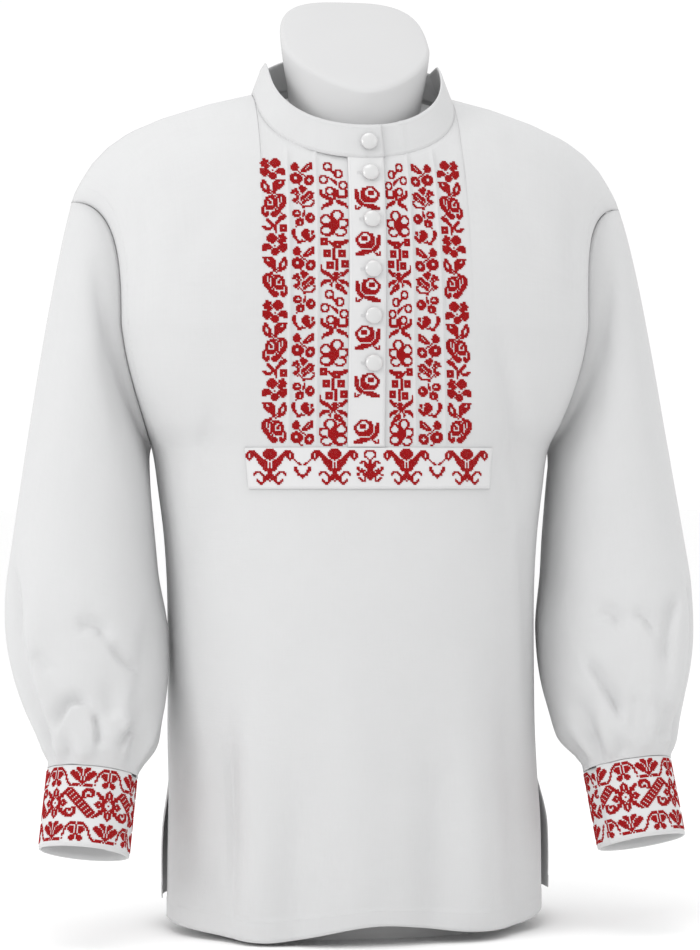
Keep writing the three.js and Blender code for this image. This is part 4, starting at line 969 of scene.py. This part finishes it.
# %% [markdown]
# ## The embroidery's charts
# Cross-stitch is drawn on squared paper first: one square is one stitch. Each motif below is a
# small chart of its own, in common folk shapes: roses, sprigs, berries, leaves and stars. A
# strip is a list of motifs with the row and column where each starts, so that it can be read
# and changed like a sampler, and the right side of the shirt is the left one mirrored.
# %% Charts of single motifs
CHARTS = {
    "leaf_pair": """
.##.......#######
.###.....####.##.
####....####..##.
##.##...########.
##..##..#######..
##..##..######...
.##.##..#####....
.######.###......
..####.###.......
....###.##.......
.......#..##.....""",
    "rose": """
..........#####..
.....#####.#####.
...######.###.###
...##..####.#.###
..####..###.#.###
..##.##.###.#.###
..##.##.###..####
..##....###.####.
.##########.####.
##.######.#####..
##.#####.#.###...
##.......####....
##.##..######....
#####.######.....
.####.#####......
..##...###.......""",
    "berry_sprig": """
.............#...
..............##.
............#####
...........#####.
...##......####..
...###....###....
....###..###.....
.....###.##......
......####..#####
###...####..#####
.######.##..##.##
..####..##..#####
.........#..#####
.........#.......""",
    "flower": """
.....###.....##..
....#####..####..
...#######.#####.
...########.#####
...#######.#####.
....#####.######.
......##...###...
.####.......#####
######..#..######
#######...#######
######.##########
###...#####.####.
......######.##..
......#####......
.......###.......""",
    "cross_sprig": """
...##.........##.
..####......####.
.#####.....##.##.
.######...##.###.
.#####...##.####.
..####..######...
......#.####.....
...##..#.........
.######.##.......
########..#.####.
###..####..######
###..####.###.###
#########.##...##
.#######..###.###
..#####...######.
......#....####..
.......#.........""",
    "blossom": """
.......##........
......#####......
...##.######.....
.####..####......
.#####.###..###..
###.##..#..######
...##.#...###.##.
....##..####.###.
....##.####.####.
..####.###.#.##..
.####..#.####..##
..##.#..###.....#
....#.#.##.....##
.......#......##.
........#######..
........##.......""",
    "dot_berries": """
..####...#.......
.###.##..#.......
.##...#.##..###..
.######.##.#####.
..####..#.####.##
......#...###..##
....#####.#######
...######..#####.
...###.##...###..
...###.##........
....####.........
...#.............""",
    "curl": """
.##......###.....
###.....#####.##.
###....#####..##.
###....######.#..
.##....######..##
.###....#####.###
..##.....#######.
...##..#..#####..
....######..##...
....###..........""",
    "ring": """
.####.
##..##
#....#
#....#
##..##
.####.""",
    "square": """
#####
#####
##.##
#####
#####""",
    "stem": """
#.....
.##...
..###.
...###
....##
.....#""",
    "hook": """
##.......
##.......
##.......
####.....
.#####...
..######.
....#####
......###""",
    "cup": """
##....##
##....##
##....##
##....##
########
.######.""",
    "leaf": """
.....###
...#####
.######.
.####...
##......
#.......""",
    "post": """
##
##
##
##
##
##
##
##""",
    "leaf_cross": """
#..................
#..................
#..................
##...............##
####............###
.#####...###.#####.
..#####.#####.###..
....####.###.###...
......#######......
.......#####.......
..#####.###.####...
.######.#.#..#####.
####...#...#..#####
##....##..####...##
#......#..#####...#
..........###.##...
...........#####...
.............####..
...............###.
................##.""",
    "big_flower": """
.........#####.....
........##...##....
.......##.....##...
..####.##.....##...
.##..####.....##...
##....####...##....
#......####.#######
#......######....##
##....#######.....#
.############.....#
..###########....##
.############.####.
##....######.####..
#......####.....##.
#......###.......#.
##....####.......#.
.########.##...##..
...####....#####...""",
    "placket_rose": """
....#####........
...##...####.....
..##.....###...##
.##.####..###..##
##..####..###.###
##..####..###.###
##.......####.###
.##....######.###
.############.###
..##########.###.
...########.####.
...........####..
....##########...
..#########.#...#
#########....##.#
######........###""",
    "jug": """
.............#####.............
..####......#######......####..
.######....#########....######.
##.#####...#########...#####.##
##.######..#########..######.##
##.##.####..#######..####.##.##
.###...####..#####..####...###.
..#....######..#..######....#..
........######...######........
........######.#.######........
.........#####.#.#####.........
..........####.#.####..........
...........###.#.###...........
...........#########...........
............#######............
......####....###....####......
.....##..##...###...##..##.....
.....#....##.#####.##....#.....
...........#########...........
...........#########...........
.......#...####.####...#.......
.......##..##..#..##..##.......
........####.......####........
.........##.........##.........""",
    "heart": """
#.............#
.#...........#.
..#.........#..
...#.......#...
....##...##....
.....##.##.....
...............
..##.......##..
..##.......##..
..###.....###..
...##.....##...
....##...##....
....#######....
......###......
.......#.......""",
    "ring_flower": """
......######......
.....##....##.....
.....#......#.....
.....#......#.....
.....##....##.....
.......#..#.......
........##........
...###..##..###...
..##.##.##.##.##..
.....########.....
.....########.....
##....######....##
##.#...####...#.##
.#####.####.#####.
..###.######.###..
##..############..
##..##########..##
.....########.....
.##..#.####.#..##.
..##.#..##..#.##..
...###......###...""",
    "wave": """
....####.####..........###...###....
...#####.#####.........####.####....
..##....#....##.....##..###.###..##.
.##.###.#.###.##...#####.##.##.#####
.#.####.#.####.#...######.#.#.######
##.####.#.####.##...#####.#.#.#####.
#...###.#.###...#....#####.#.#####..
#....##.#.##....#.....####.#.####...
#......###......##.....###.#.###...#
.....###.###.....#.......#####.....#
....####.####....##.......###.......
....####.####.....##.#####.#.#####.#
.....##...##.......######.#.######..""",
    "star": """
.........#.........
........###........
.##....##.##....##.
.###...##.##...###.
..####.##.##.####..
...###.#####.###...
...#####.#.#####...
.....####.####.....
..##.###...###.##..
.######.....######.
###.###..#..###.###
.######.....######.
..##.###...###.##..
.....####.####.....
...#####.#.#####...
...###.#####.###...
..####.##.##.####..
.###...##.##...###.
.##....##.##....##.
........###........
.........#.........""",
    "hook_up": """
..#####.
.#######
###..###
##....##
##.##.##
##.####.
###.....""",
}
LATTICE = 20
CHARTS["bar"] = "\n".join(
    "".join("#" if abs(c - r) < 5 and (abs(c - r) in (1, 3, 4) or (c + r) % 4) else "."
            for c in range(LATTICE))
    for r in range(LATTICE))
charts = {name: np.array([list(row) for row in text.split()]) == "#"
          for name, text in CHARTS.items()}
print("motifs:", len(charts), "stitches in one rose:", int(charts["rose"].sum()))

# %% Strips laid out from the motifs


def worked(rows, columns_wide, layout):
    """A strip as one array of stitches: each motif is added where it starts; a minus turn
    mirrors it from left to right, and a down of -1 from top to bottom."""
    cloth = np.zeros((rows, columns_wide), bool)
    for name, row, column, turn, down in layout:
        motif = charts[name][::down, ::turn]
        first_row, first_column = max(0, row), max(0, column)
        last_row = min(rows, row + motif.shape[0])
        last_column = min(columns_wide, column + motif.shape[1])
        if last_row > first_row and last_column > first_column:
            cloth[first_row:last_row, first_column:last_column] |= motif[
                first_row - row:last_row - row, first_column - column:last_column - column]
    return cloth


def repeated(layout, *starts):
    """The same layout begun again at each of several rows."""
    return [(name, row + start, *rest) for start in starts for name, row, *rest in layout]


OUTER_REPEAT = [("leaf_pair", 0, 0, 1, 1), ("rose", 10, 0, 1, 1), ("berry_sprig", 23, 0, 1, 1),
                ("flower", 37, 0, 1, 1), ("leaf_pair", 53, 0, -1, 1), ("rose", 64, 0, -1, 1),
                ("flower", 82, 0, -1, 1)]
MIDDLE_REPEAT = [("cross_sprig", 0, 0, 1, 1), ("blossom", 16, 0, 1, 1),
                 ("dot_berries", 33, 0, 1, 1), ("curl", 46, 0, 1, 1)]
INNER_REPEAT = [("ring", 0, 3, 1, 1), ("stem", 4, 6, 1, 1), ("ring", 5, 10, 1, 1),
                ("ring", 9, 0, 1, 1), ("stem", 10, 6, 1, 1), ("ring", 13, 13, 1, 1),
                ("ring", 17, 4, 1, 1), ("hook", 19, 0, 1, 1), ("cup", 19, 11, 1, 1),
                ("post", 18, 9, 1, 1), ("leaf", 27, 1, 1, 1), ("leaf", 26, 11, -1, 1),
                ("big_flower", 33, 0, 1, 1), ("square", 52, 0, 1, 1), ("square", 54, 9, 1, 1),
                ("leaf", 51, 13, -1, -1), ("stem", 53, 4, 1, 1), ("square", 60, 2, 1, 1),
                ("square", 60, 12, 1, 1), ("post", 59, 8, 1, 1), ("square", 67, 14, 1, 1),
                ("square", 68, 4, 1, 1), ("post", 66, 10, 1, 1), ("leaf_cross", 70, 0, 1, 1)]
strips = {
    "outer": worked(194, 17, repeated(OUTER_REPEAT, -82, 15, 112)),
    "middle": worked(191, 17, repeated(MIDDLE_REPEAT, 0, 58, 116, 174)),
    "inner": worked(191, 19, repeated(INNER_REPEAT, 0, 87) + [("big_flower", 173, 0, -1, 1)]),
}
BAND_ROWS, BAND_COLUMNS = 25, 165
centre = BAND_COLUMNS // 2
band_layout = [("ring_flower", 1, centre - 9, 1, 1)]
for turn in (-1, 1):
    for away in (24, 66):
        band_layout.append(("jug", 0, centre + turn * away - 15, 1, 1))
    band_layout.append(("heart", 5, centre + turn * 45 - 7, 1, 1))
strips["band"] = worked(BAND_ROWS, BAND_COLUMNS, band_layout)
CUFF_PERIOD = 36
CUFF_COLUMNS = 176
CUFF_START = 4
cuff_layout = []
for period in range(-1, 6):
    start = period * CUFF_PERIOD + CUFF_START
    cuff_layout += [("wave", 0, start, 1, 1), ("wave", 37, start + 18, 1, 1),
                    ("star", 14, start, 1, 1), ("bar", 14, start + 17, 1, 1),
                    ("hook_up", 14, start + 28, 1, 1), ("hook_up", 27, start + 17, -1, -1)]
strips["cuff"] = worked(50, CUFF_COLUMNS, cuff_layout)
print("stitches worked:", {name: int(cloth.sum()) for name, cloth in strips.items()})

# %% [markdown]
# ## Stitches
# A cross-stitch is two short threads that cross in a square of the cloth, the second over the
# first. Each thread is a low roof of six points, so that a strip of thousands of stitches stays
# light. A whole strip is one mesh, worked out from its chart in a few array steps.
# %% Threads and crosses
STITCH = {"half_width": 0.45, "sunk": 0.04, "height": 0.36, "over": 0.14, "reach": 0.52,
          "ridge": 0.84, "uneven": 0.06}
chance = np.random.default_rng(12)


def threads(middles, along, normals, half_width, height):
    """Roofs of six points: four at the foot, half a thread along and half its width aside of
    its middle, and two on a ridge that is a little shorter."""
    aside = unit(np.cross(normals, along)) * half_width
    foot = middles - normals * STITCH["sunk"]
    top = middles + normals * height
    ridge = along * STITCH["ridge"]
    points = np.stack([foot - along - aside, foot + along - aside, foot + along + aside,
                       foot - along + aside, top - ridge, top + ridge], 1).reshape(-1, 3)
    first = np.arange(len(middles))[:, None] * 6
    quads = np.concatenate([first + [0, 1, 5, 4], first + [2, 3, 4, 5], first + [3, 2, 1, 0]])
    ends = np.concatenate([first + [1, 2, 5], first + [3, 0, 4]])
    return points, quads, ends


def thread_mesh(name, groups):
    """Groups of roofs joined into one mesh: each group's numbers move on by the points before."""
    before = np.cumsum([0] + [len(points) for points, _, _ in groups])
    points = np.concatenate([group[0] for group in groups])
    quads = np.concatenate([group[1] + start for group, start in zip(groups, before)])
    ends = np.concatenate([group[2] + start for group, start in zip(groups, before)])
    obj = add_mesh(name, points, [quads, ends])
    obj.data.shade_flat()
    print(f"{name}: {2 * len(quads) + len(ends)} triangles")
    return obj


def crosses(at, u, v, across_size, up_size, facing=1):
    """Two threads for each stitch, along both diagonals of its square. at gives the surface's
    points for places u and v, and differences of it give the square's sides. facing is -1 where
    u runs the other way round the cloth."""
    step = 0.4
    middle = at(u, v)
    across = (at(u + step, v) - at(u - step, v)) / (2 * step)
    up = (at(u, v + step) - at(u, v - step)) / (2 * step)
    across = unit(across) * across_size
    up = unit(up) * up_size
    normals = unit(np.cross(across, up)) * facing
    uneven = 1 + STITCH["uneven"] * chance.standard_normal((len(u), 1))
    width = STITCH["half_width"] * uneven
    return [threads(middle + normals * over, (across + way * up) * STITCH["reach"], normals,
                    width, STITCH["height"]) for way, over in ((1, 0), (-1, STITCH["over"]))]


# %% Bib strips
BIB_STRIPS = {  # where each strip's edges are at the band and at the top of the bib
    "outer": {"left": (-97, -74.5, -95.5, -72.6), "right": (73.5, 96.8, 66.7, 88), "top": 711},
    "middle": {"left": (-71, -50, -69, -47), "right": (45.6, 68.7, 41.5, 62.7), "top": 707},
    "inner": {"left": (-45.8, -20.4, -42.6, -16.8), "right": (18.8, 40.9, 17.5, 37.8), "top": 707},
}
BIB_FOOT = 448.2


def on_front(x, z):
    return over_front(x, z, 0.0)


embroidery = {}
for word, turn in (("left", 1), ("right", -1)):
    groups = []
    for name, row in BIB_STRIPS.items():
        chart = strips[name][:, ::turn]
        rows, wide = chart.shape
        r, c = np.nonzero(chart)
        pitch = (row["top"] - BIB_FOOT) / rows
        z = row["top"] - (r + 0.5) * pitch
        rise = (z - UNDERARM) / (BIB_TOP - UNDERARM)
        foot_from, foot_to, head_from, head_to = row[word]
        edge = foot_from + (head_from - foot_from) * rise
        foot_wide, head_wide = foot_to - foot_from, head_to - head_from
        size = foot_wide + (head_wide - foot_wide) * rise
        x = edge + (c + 0.5) * size / wide
        groups += crosses(on_front, x, z, foot_wide / wide, pitch * 1.02)
    embroidery[f"bib_{word}"] = thread_mesh(f"embroidery_bib_{word}", groups)

# %% Placket, band and cuffs
PITCH = 1.36
ROSE_HEIGHTS = (673, 631, 589, 546, 503, 461)
PLACKET_MIDDLE = (PLACKET["from"] + PLACKET["to"]) / 2
BAND_WORK = {"middle": 0.8, "top": 445.6}
CUFF_WORK = {"from": 293, "top": 1.6, "pitch": 1.32, "wide": 1.52, "degrees": 2.0}


def on_placket(q, z):
    return surface(FRONT, q, z, ON_STRIP)


def on_band(x, z):
    return over_front(x, z, ON_STRIP)


groups = []
for k, height in enumerate(ROSE_HEIGHTS):
    chart = charts["placket_rose"][:, ::(-1 if k % 2 == 0 else 1)]
    r, c = np.nonzero(chart)
    q = PLACKET_MIDDLE + (c + 0.5 - chart.shape[1] / 2) * PITCH
    z = height - (r + 0.5 - chart.shape[0] / 2) * PITCH
    groups += crosses(on_placket, q, z, PITCH, PITCH)
embroidery["placket"] = thread_mesh("embroidery_placket", groups)
r, c = np.nonzero(strips["band"])
x = BAND_WORK["middle"] + (c + 0.5 - BAND_COLUMNS / 2) * PITCH
embroidery["band"] = thread_mesh("embroidery_band", crosses(
    on_band, x, BAND_WORK["top"] - (r + 0.5) * PITCH, PITCH, PITCH))


def cuff_face(side, degrees, below, out=0.0):
    """The cuff's outside by degrees and millimetres below its top, its inner end dipping."""
    dip = cuff_dip(degrees - CUFF["end_angle"])
    return cuff_point(side, below / cuff_height, degrees, out - dip)


r, c = np.nonzero(strips["cuff"])
turned = CUFF_WORK["from"] - c * CUFF_WORK["degrees"]
below = CUFF_WORK["top"] + (r + 0.5) * CUFF_WORK["pitch"]
for word, side in SIDES:
    def on_cuff(u, v):
        return cuff_face(side, u * 2 / PITCH, -v)

    groups = crosses(on_cuff, turned * PITCH / 2, -below, CUFF_WORK["wide"], CUFF_WORK["pitch"],
                     side)
    embroidery[f"cuff_{word}"] = thread_mesh(f"embroidery_cuff_{word}", groups)

# %% [markdown]
# ## Seams and buttonholes
# Machine stitches run along every hem and seam: short white threads with small gaps. A
# buttonhole is a slit with its edges bound in close stitches; only its end shows beside the
# button.
# %% Topstitching
SEAM_STITCH = {"half": 1.05, "gap": 0.8, "half_width": 0.22, "height": 0.2}


def seam(points, outside):
    """Stitches evenly along a line of points, laid along the line's own direction."""
    length = np.concatenate([[0], np.cumsum(np.linalg.norm(np.diff(points, axis=0), axis=1))])
    pace = 2 * SEAM_STITCH["half"] + SEAM_STITCH["gap"]
    at = np.arange(pace, length[-1] - pace / 2, pace)

    def read(values, place):
        return np.stack([np.interp(place, length, values[:, k]) for k in range(3)], -1)

    along = unit(read(points, at + 1) - read(points, at - 1)) * SEAM_STITCH["half"]
    return threads(read(points, at), along, unit(read(outside, at)), SEAM_STITCH["half_width"],
                   SEAM_STITCH["height"])


def panel_seam(shape, q, level, lift=0.0):
    """A seam on a panel between two thread lines or two rows."""
    q, level = np.linspace(*q, 260), np.linspace(*level, 260)
    z = height_of(shape, q, level)
    return seam(surface(shape, q, z, lift, level=level), base_normal(shape, q, z))


inset = SIDE_X - 4.5
body_seams = []
for shape in (FRONT, BACK):
    body_seams.append(panel_seam(shape, (-inset, inset), (20, 20)))
    for side in (-1, 1):
        body_seams.append(panel_seam(shape, (side * inset, side * inset), (450, 652)))
strip_seams = [
    panel_seam(FRONT, (PLACKET["from"] + 1.6,) * 2, (449, 657), ON_STRIP),
    panel_seam(FRONT, (PLACKET["to"] - 1.6,) * 2, (449, 657), ON_STRIP),
    panel_seam(FRONT, (BAND["from"] + 2, BAND["to"] - 2), (411.2, 411.2), ON_STRIP)]
collar_seams = []
for rise_at in (0.09, 0.91):
    height_share = np.full(len(neck), rise_at)
    line = collar_points(neck, height_share, lap[0])[run < run[-1] - COLLAR["overlap"] - 12]
    collar_seams.append(seam(line, unit(line * [1, 1, 0])))
cuff_seams = []
for side in (-1, 1):
    sweep = np.linspace(CUFF["end_angle"] + 1, 300, 260)
    low = np.full(260, cuff_height - 1.6)
    line = cuff_face(side, sweep, low)
    cuff_seams.append(seam(line, unit(line - cuff_face(side, sweep, low, -5.0))))
stitching = {name: thread_mesh(f"seams_{name}", groups) for name, groups in (
    ("body", body_seams), ("strips", strip_seams), ("collar", collar_seams), ("cuffs", cuff_seams))}

# %% Buttonholes
HOLE = {"half": 9.2, "shift": -2.0, "pace": 0.55}


def buttonhole(spot_at):
    """Close stitches round a slit: two rows of threads square to it, and a bar at each end."""
    place = np.arange(-HOLE["half"], HOLE["half"] + 0.01, HOLE["pace"]) + HOLE["shift"]
    groups = []
    for row in (-1, 1):
        middle, other = spot_at(place, row * 0.85), spot_at(place, row * 1.35)
        normal = unit(np.cross(spot_at(place + 0.5, row * 0.85) - middle, other - middle)) * row
        groups.append(threads(middle, (other - middle) * 1.2, normal, 0.24, 0.2))
    for end in (-HOLE["half"], HOLE["half"]):
        place = np.full(4, end + HOLE["shift"]) + np.array([-0.5, 0, 0.5, 1.0])
        middle, other = spot_at(place, 0.0), spot_at(place, 1.0)
        normal = unit(np.cross(spot_at(place + 0.5, 0.0) - middle, other - middle))
        groups.append(threads(middle, (other - middle) * 1.3, normal, 0.24, 0.25))
    return groups


hole_groups = []
for height in BUTTON["heights"]:
    def on_slit(x, z, height=height):
        return over_front(BUTTON["x"] + x, height + z + 0.0 * x, ON_STRIP)

    hole_groups += buttonhole(on_slit)
holes = thread_mesh("buttonholes", hole_groups)

# %% [markdown]
# ## Finishes
# The cloth is plain-woven cotton: two sets of threads that pass over and under each other, with
# thicker slubs here and there and a soft crumple. The crumple is also painted into the cloth's
# colour as painted shade, darker where its bump sinks. Thread has a little sheen, buttons are
# polished, and the form is a satin moulding. Each effect is one node group, used by all.
# %% Node helpers


def add_node(tree, kind, settings=(), inputs=()):
    """Add a node, set its options, and fill or link its inputs."""
    new = tree.nodes.new(kind)
    for key, value in dict(settings).items():
        setattr(new, key, value)
    for key, value in dict(inputs).items():
        if isinstance(value, bpy.types.NodeSocket):
            tree.links.new(value, new.inputs[key])
        else:
            new.inputs[key].default_value = value
    return new


def maths(tree, operation, first, second=0.0):
    return add_node(tree, "ShaderNodeMath", {"operation": operation},
                    {0: first, 1: second}).outputs[0]


def scaled(tree, value, factor):
    return maths(tree, "MULTIPLY", value, factor)


def noise(tree, vector, scale, detail=2.0):
    return add_node(tree, "ShaderNodeTexNoise", (), {
        "Vector": vector, "Scale": scale, "Detail": detail}).outputs[0]


def shader_group(name):
    """A group with one input and two outputs: Depth scales the relief, Mask picks between two
    colours and Height is the relief in metres."""
    group = bpy.data.node_groups.new(name, "ShaderNodeTree")
    for socket, way in (("Depth", "INPUT"), ("Mask", "OUTPUT"), ("Height", "OUTPUT")):
        group.interface.new_socket(name=socket, in_out=way, socket_type="NodeSocketFloat")
    return group


def give(group, mask, height):
    """Finish a group: its mask, and its height times its Depth."""
    depth = add_node(group, "NodeGroupInput").outputs["Depth"]
    add_node(group, "NodeGroupOutput", (), {
        "Mask": mask, "Height": maths(group, "MULTIPLY", height, depth)})


# %% Woven cloth, thread and moulding
WEAVE_PITCH = 0.00068
woven = shader_group("plain_weave")
cloth_map = add_node(woven, "ShaderNodeUVMap", {"uv_map": "cloth"}).outputs[0]
place = add_node(woven, "ShaderNodeTexCoord").outputs["Object"]
split = add_node(woven, "ShaderNodeSeparateXYZ", (), {0: cloth_map})
waves = [maths(woven, "SINE", scaled(woven, split.outputs[k], math.pi / WEAVE_PITCH * 2))
         for k in (0, 1)]
crossed = maths(woven, "MULTIPLY", *waves)
slubs = maths(woven, "ADD", *[
    noise(woven, add_node(woven, "ShaderNodeMapping", (), {
        "Vector": cloth_map, "Scale": along}).outputs[0], 1.0)
    for along in ((1300, 45, 1), (45, 1300, 1))])
crumple_and_shade = noise(woven, place, 26.0, 3.0)
uneven = maths(woven, "ADD", scaled(woven, slubs, 0.00008), scaled(woven, crumple_and_shade, 0.0011))
# The mask's slub part is the threads' own tone; its crumple part is painted shade, darker where the
# crumple bump sinks.
give(woven, maths(woven, "ADD", scaled(woven, slubs, 0.35), scaled(woven, crumple_and_shade, 0.4)),
     maths(woven, "ADD", scaled(woven, crossed, 0.00003), uneven))

stranded = shader_group("stranded_thread")
place = add_node(stranded, "ShaderNodeTexCoord").outputs["Object"]
fine, broad = noise(stranded, place, 1900.0), noise(stranded, place, 160.0)
give(stranded, maths(stranded, "ADD", scaled(stranded, fine, 0.65), scaled(stranded, broad, 0.35)),
     scaled(stranded, fine, 0.00012))

moulded = shader_group("moulded_skin")
place = add_node(moulded, "ShaderNodeTexCoord").outputs["Object"]
grain, cloudy = noise(moulded, place, 1400.0), noise(moulded, place, 7.0)
give(moulded, cloudy, scaled(moulded, grain, 0.00006))


def finish_of(name, group, depth, colours, shader):
    """A material: the group's Mask mixes two colours, its Height, as deep as this material
    asks, is the bump, and constants go on the shader itself."""
    material = bpy.data.materials.new(name)
    material.use_nodes = True
    tree = material.node_tree
    main = tree.nodes["Principled BSDF"]
    effect = add_node(tree, "ShaderNodeGroup", {"node_tree": group}, {"Depth": depth})
    mixed = add_node(tree, "ShaderNodeMix", {"data_type": "RGBA"}, {
        0: effect.outputs["Mask"], 6: (*colours[0], 1), 7: (*colours[1], 1)})
    bump = add_node(tree, "ShaderNodeBump", (), {
        "Distance": 1.0, "Strength": 1.0, "Height": effect.outputs["Height"]})
    tree.links.new(mixed.outputs[2], main.inputs["Base Color"])
    tree.links.new(bump.outputs[0], main.inputs["Normal"])
    for key, value in shader.items():
        main.inputs[key].default_value = value
    return material


# For the two cottons the darker colour stands for the slubs' own tone and for painted shade in the
# crumple's hollows.
finishes = {
    "shirt_cloth": finish_of("white_cotton", woven, 1.0, (
        (0.535, 0.537, 0.54), (0.585, 0.587, 0.59)), {
        "Roughness": 0.92, "Specular IOR Level": 0.25, "Sheen Weight": 0.12}),
    "embroidered_cloth": finish_of("worked_cotton", woven, 0.85, (
        (0.575, 0.575, 0.578), (0.625, 0.625, 0.628)), {
        "Roughness": 0.9, "Specular IOR Level": 0.25, "Sheen Weight": 0.12}),
    "embroidery_thread": finish_of("red_thread", stranded, 1.0, (
        (0.15, 0.002, 0.003), (0.47, 0.006, 0.009)), {
        "Roughness": 0.72, "Specular IOR Level": 0.18}),
    "seam_thread": finish_of("white_thread", stranded, 0.8, (
        (0.55, 0.55, 0.555), (0.61, 0.61, 0.615)), {
        "Roughness": 0.7, "Specular IOR Level": 0.3}),
    "buttons": finish_of("polished_white", moulded, 0.2, (
        (0.52, 0.52, 0.52), (0.57, 0.57, 0.57)), {
        "Roughness": 0.12, "Specular IOR Level": 0.6, "Coat Weight": 0.6, "Coat Roughness": 0.05}),
    "form_shell": finish_of("satin_form", moulded, 1.0, (
        (0.50, 0.50, 0.503), (0.55, 0.55, 0.553)), {
        "Roughness": 0.5, "Specular IOR Level": 0.35}),
}
print("finishes:", ", ".join(finishes))

# %% [markdown]
# ## Finishes and hidden solids
# Every piece wears a finish of the part's record, and the solids that the pieces stand for are
# hidden. No slot is given and no sheet is declared, since cut does nothing.
# %% Finishes


def wears(piece, finish):
    piece.data.materials.clear()
    piece.data.materials.append(finishes[finish])


for name in ("front", "back", "sleeve_left", "sleeve_right", "collar", "placket_under"):
    wears(made[f"{name}_cloth"], "shirt_cloth")
for name in ("cuff_left", "cuff_right", "placket", "chest_band"):
    wears(made[f"{name}_cloth"], "embroidered_cloth")
for piece in embroidery.values():
    wears(piece, "embroidery_thread")
for piece in [*stitching.values(), holes]:
    wears(piece, "seam_thread")
for piece in buttons:
    wears(piece, "buttons")
wears(form_shell, "form_shell")


def cut(piece, grid, held, rests_on, with_pieces=(), wrap=False):
    """Declares no sheet and works out neither a cut nor a flat area: the function does nothing."""


cut(front_cloth, front_grid, "draped", [form_shell],
    [embroidery["bib_left"], embroidery["bib_right"], stitching["body"]])
cut(back_cloth, back_grid, "draped", [form_shell])
for word in ("left", "right"):
    cut(sleeve_cloth[word], sleeve_grids[word], "hung", [front_cloth, back_cloth], wrap=True)
    cut(cuff_cloth[word], cuff_grids[word], "folded", [sleeve_cloth[word]],
        [embroidery[f"cuff_{word}"]] + ([stitching["cuffs"]] if word == "left" else []))
cut(collar_cloth, collar_grid, "folded", [front_cloth, back_cloth], [stitching["collar"]])
cut(placket_cloth, placket_grid, "laid", [front_cloth],
    [embroidery["placket"], stitching["strips"], holes])
cut(under_cloth, under_grid, "laid", [front_cloth])
cut(band_cloth, band_grid, "laid", [front_cloth], [embroidery["band"]])

# %% Finish
for piece in made.values():
    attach(piece, "root")
STANDS_FOR = {
    "front_cloth": "front_lower front_upper_left front_upper_right", "back_cloth": "back",
    "sleeve_left_cloth": "sleeve_left", "sleeve_right_cloth": "sleeve_right",
    "cuff_left_cloth": "cuff_left", "cuff_right_cloth": "cuff_right", "collar_cloth": "collar",
    "placket_cloth": "placket", "placket_under_cloth": "placket_under",
    "chest_band_cloth": "chest_band", "form_shell": "dress_form",
    **{f"button_{k}_domed": f"button_{k}" for k in range(1, 7)}}
for name, node in STANDS_FOR.items():
    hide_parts(*node.split())
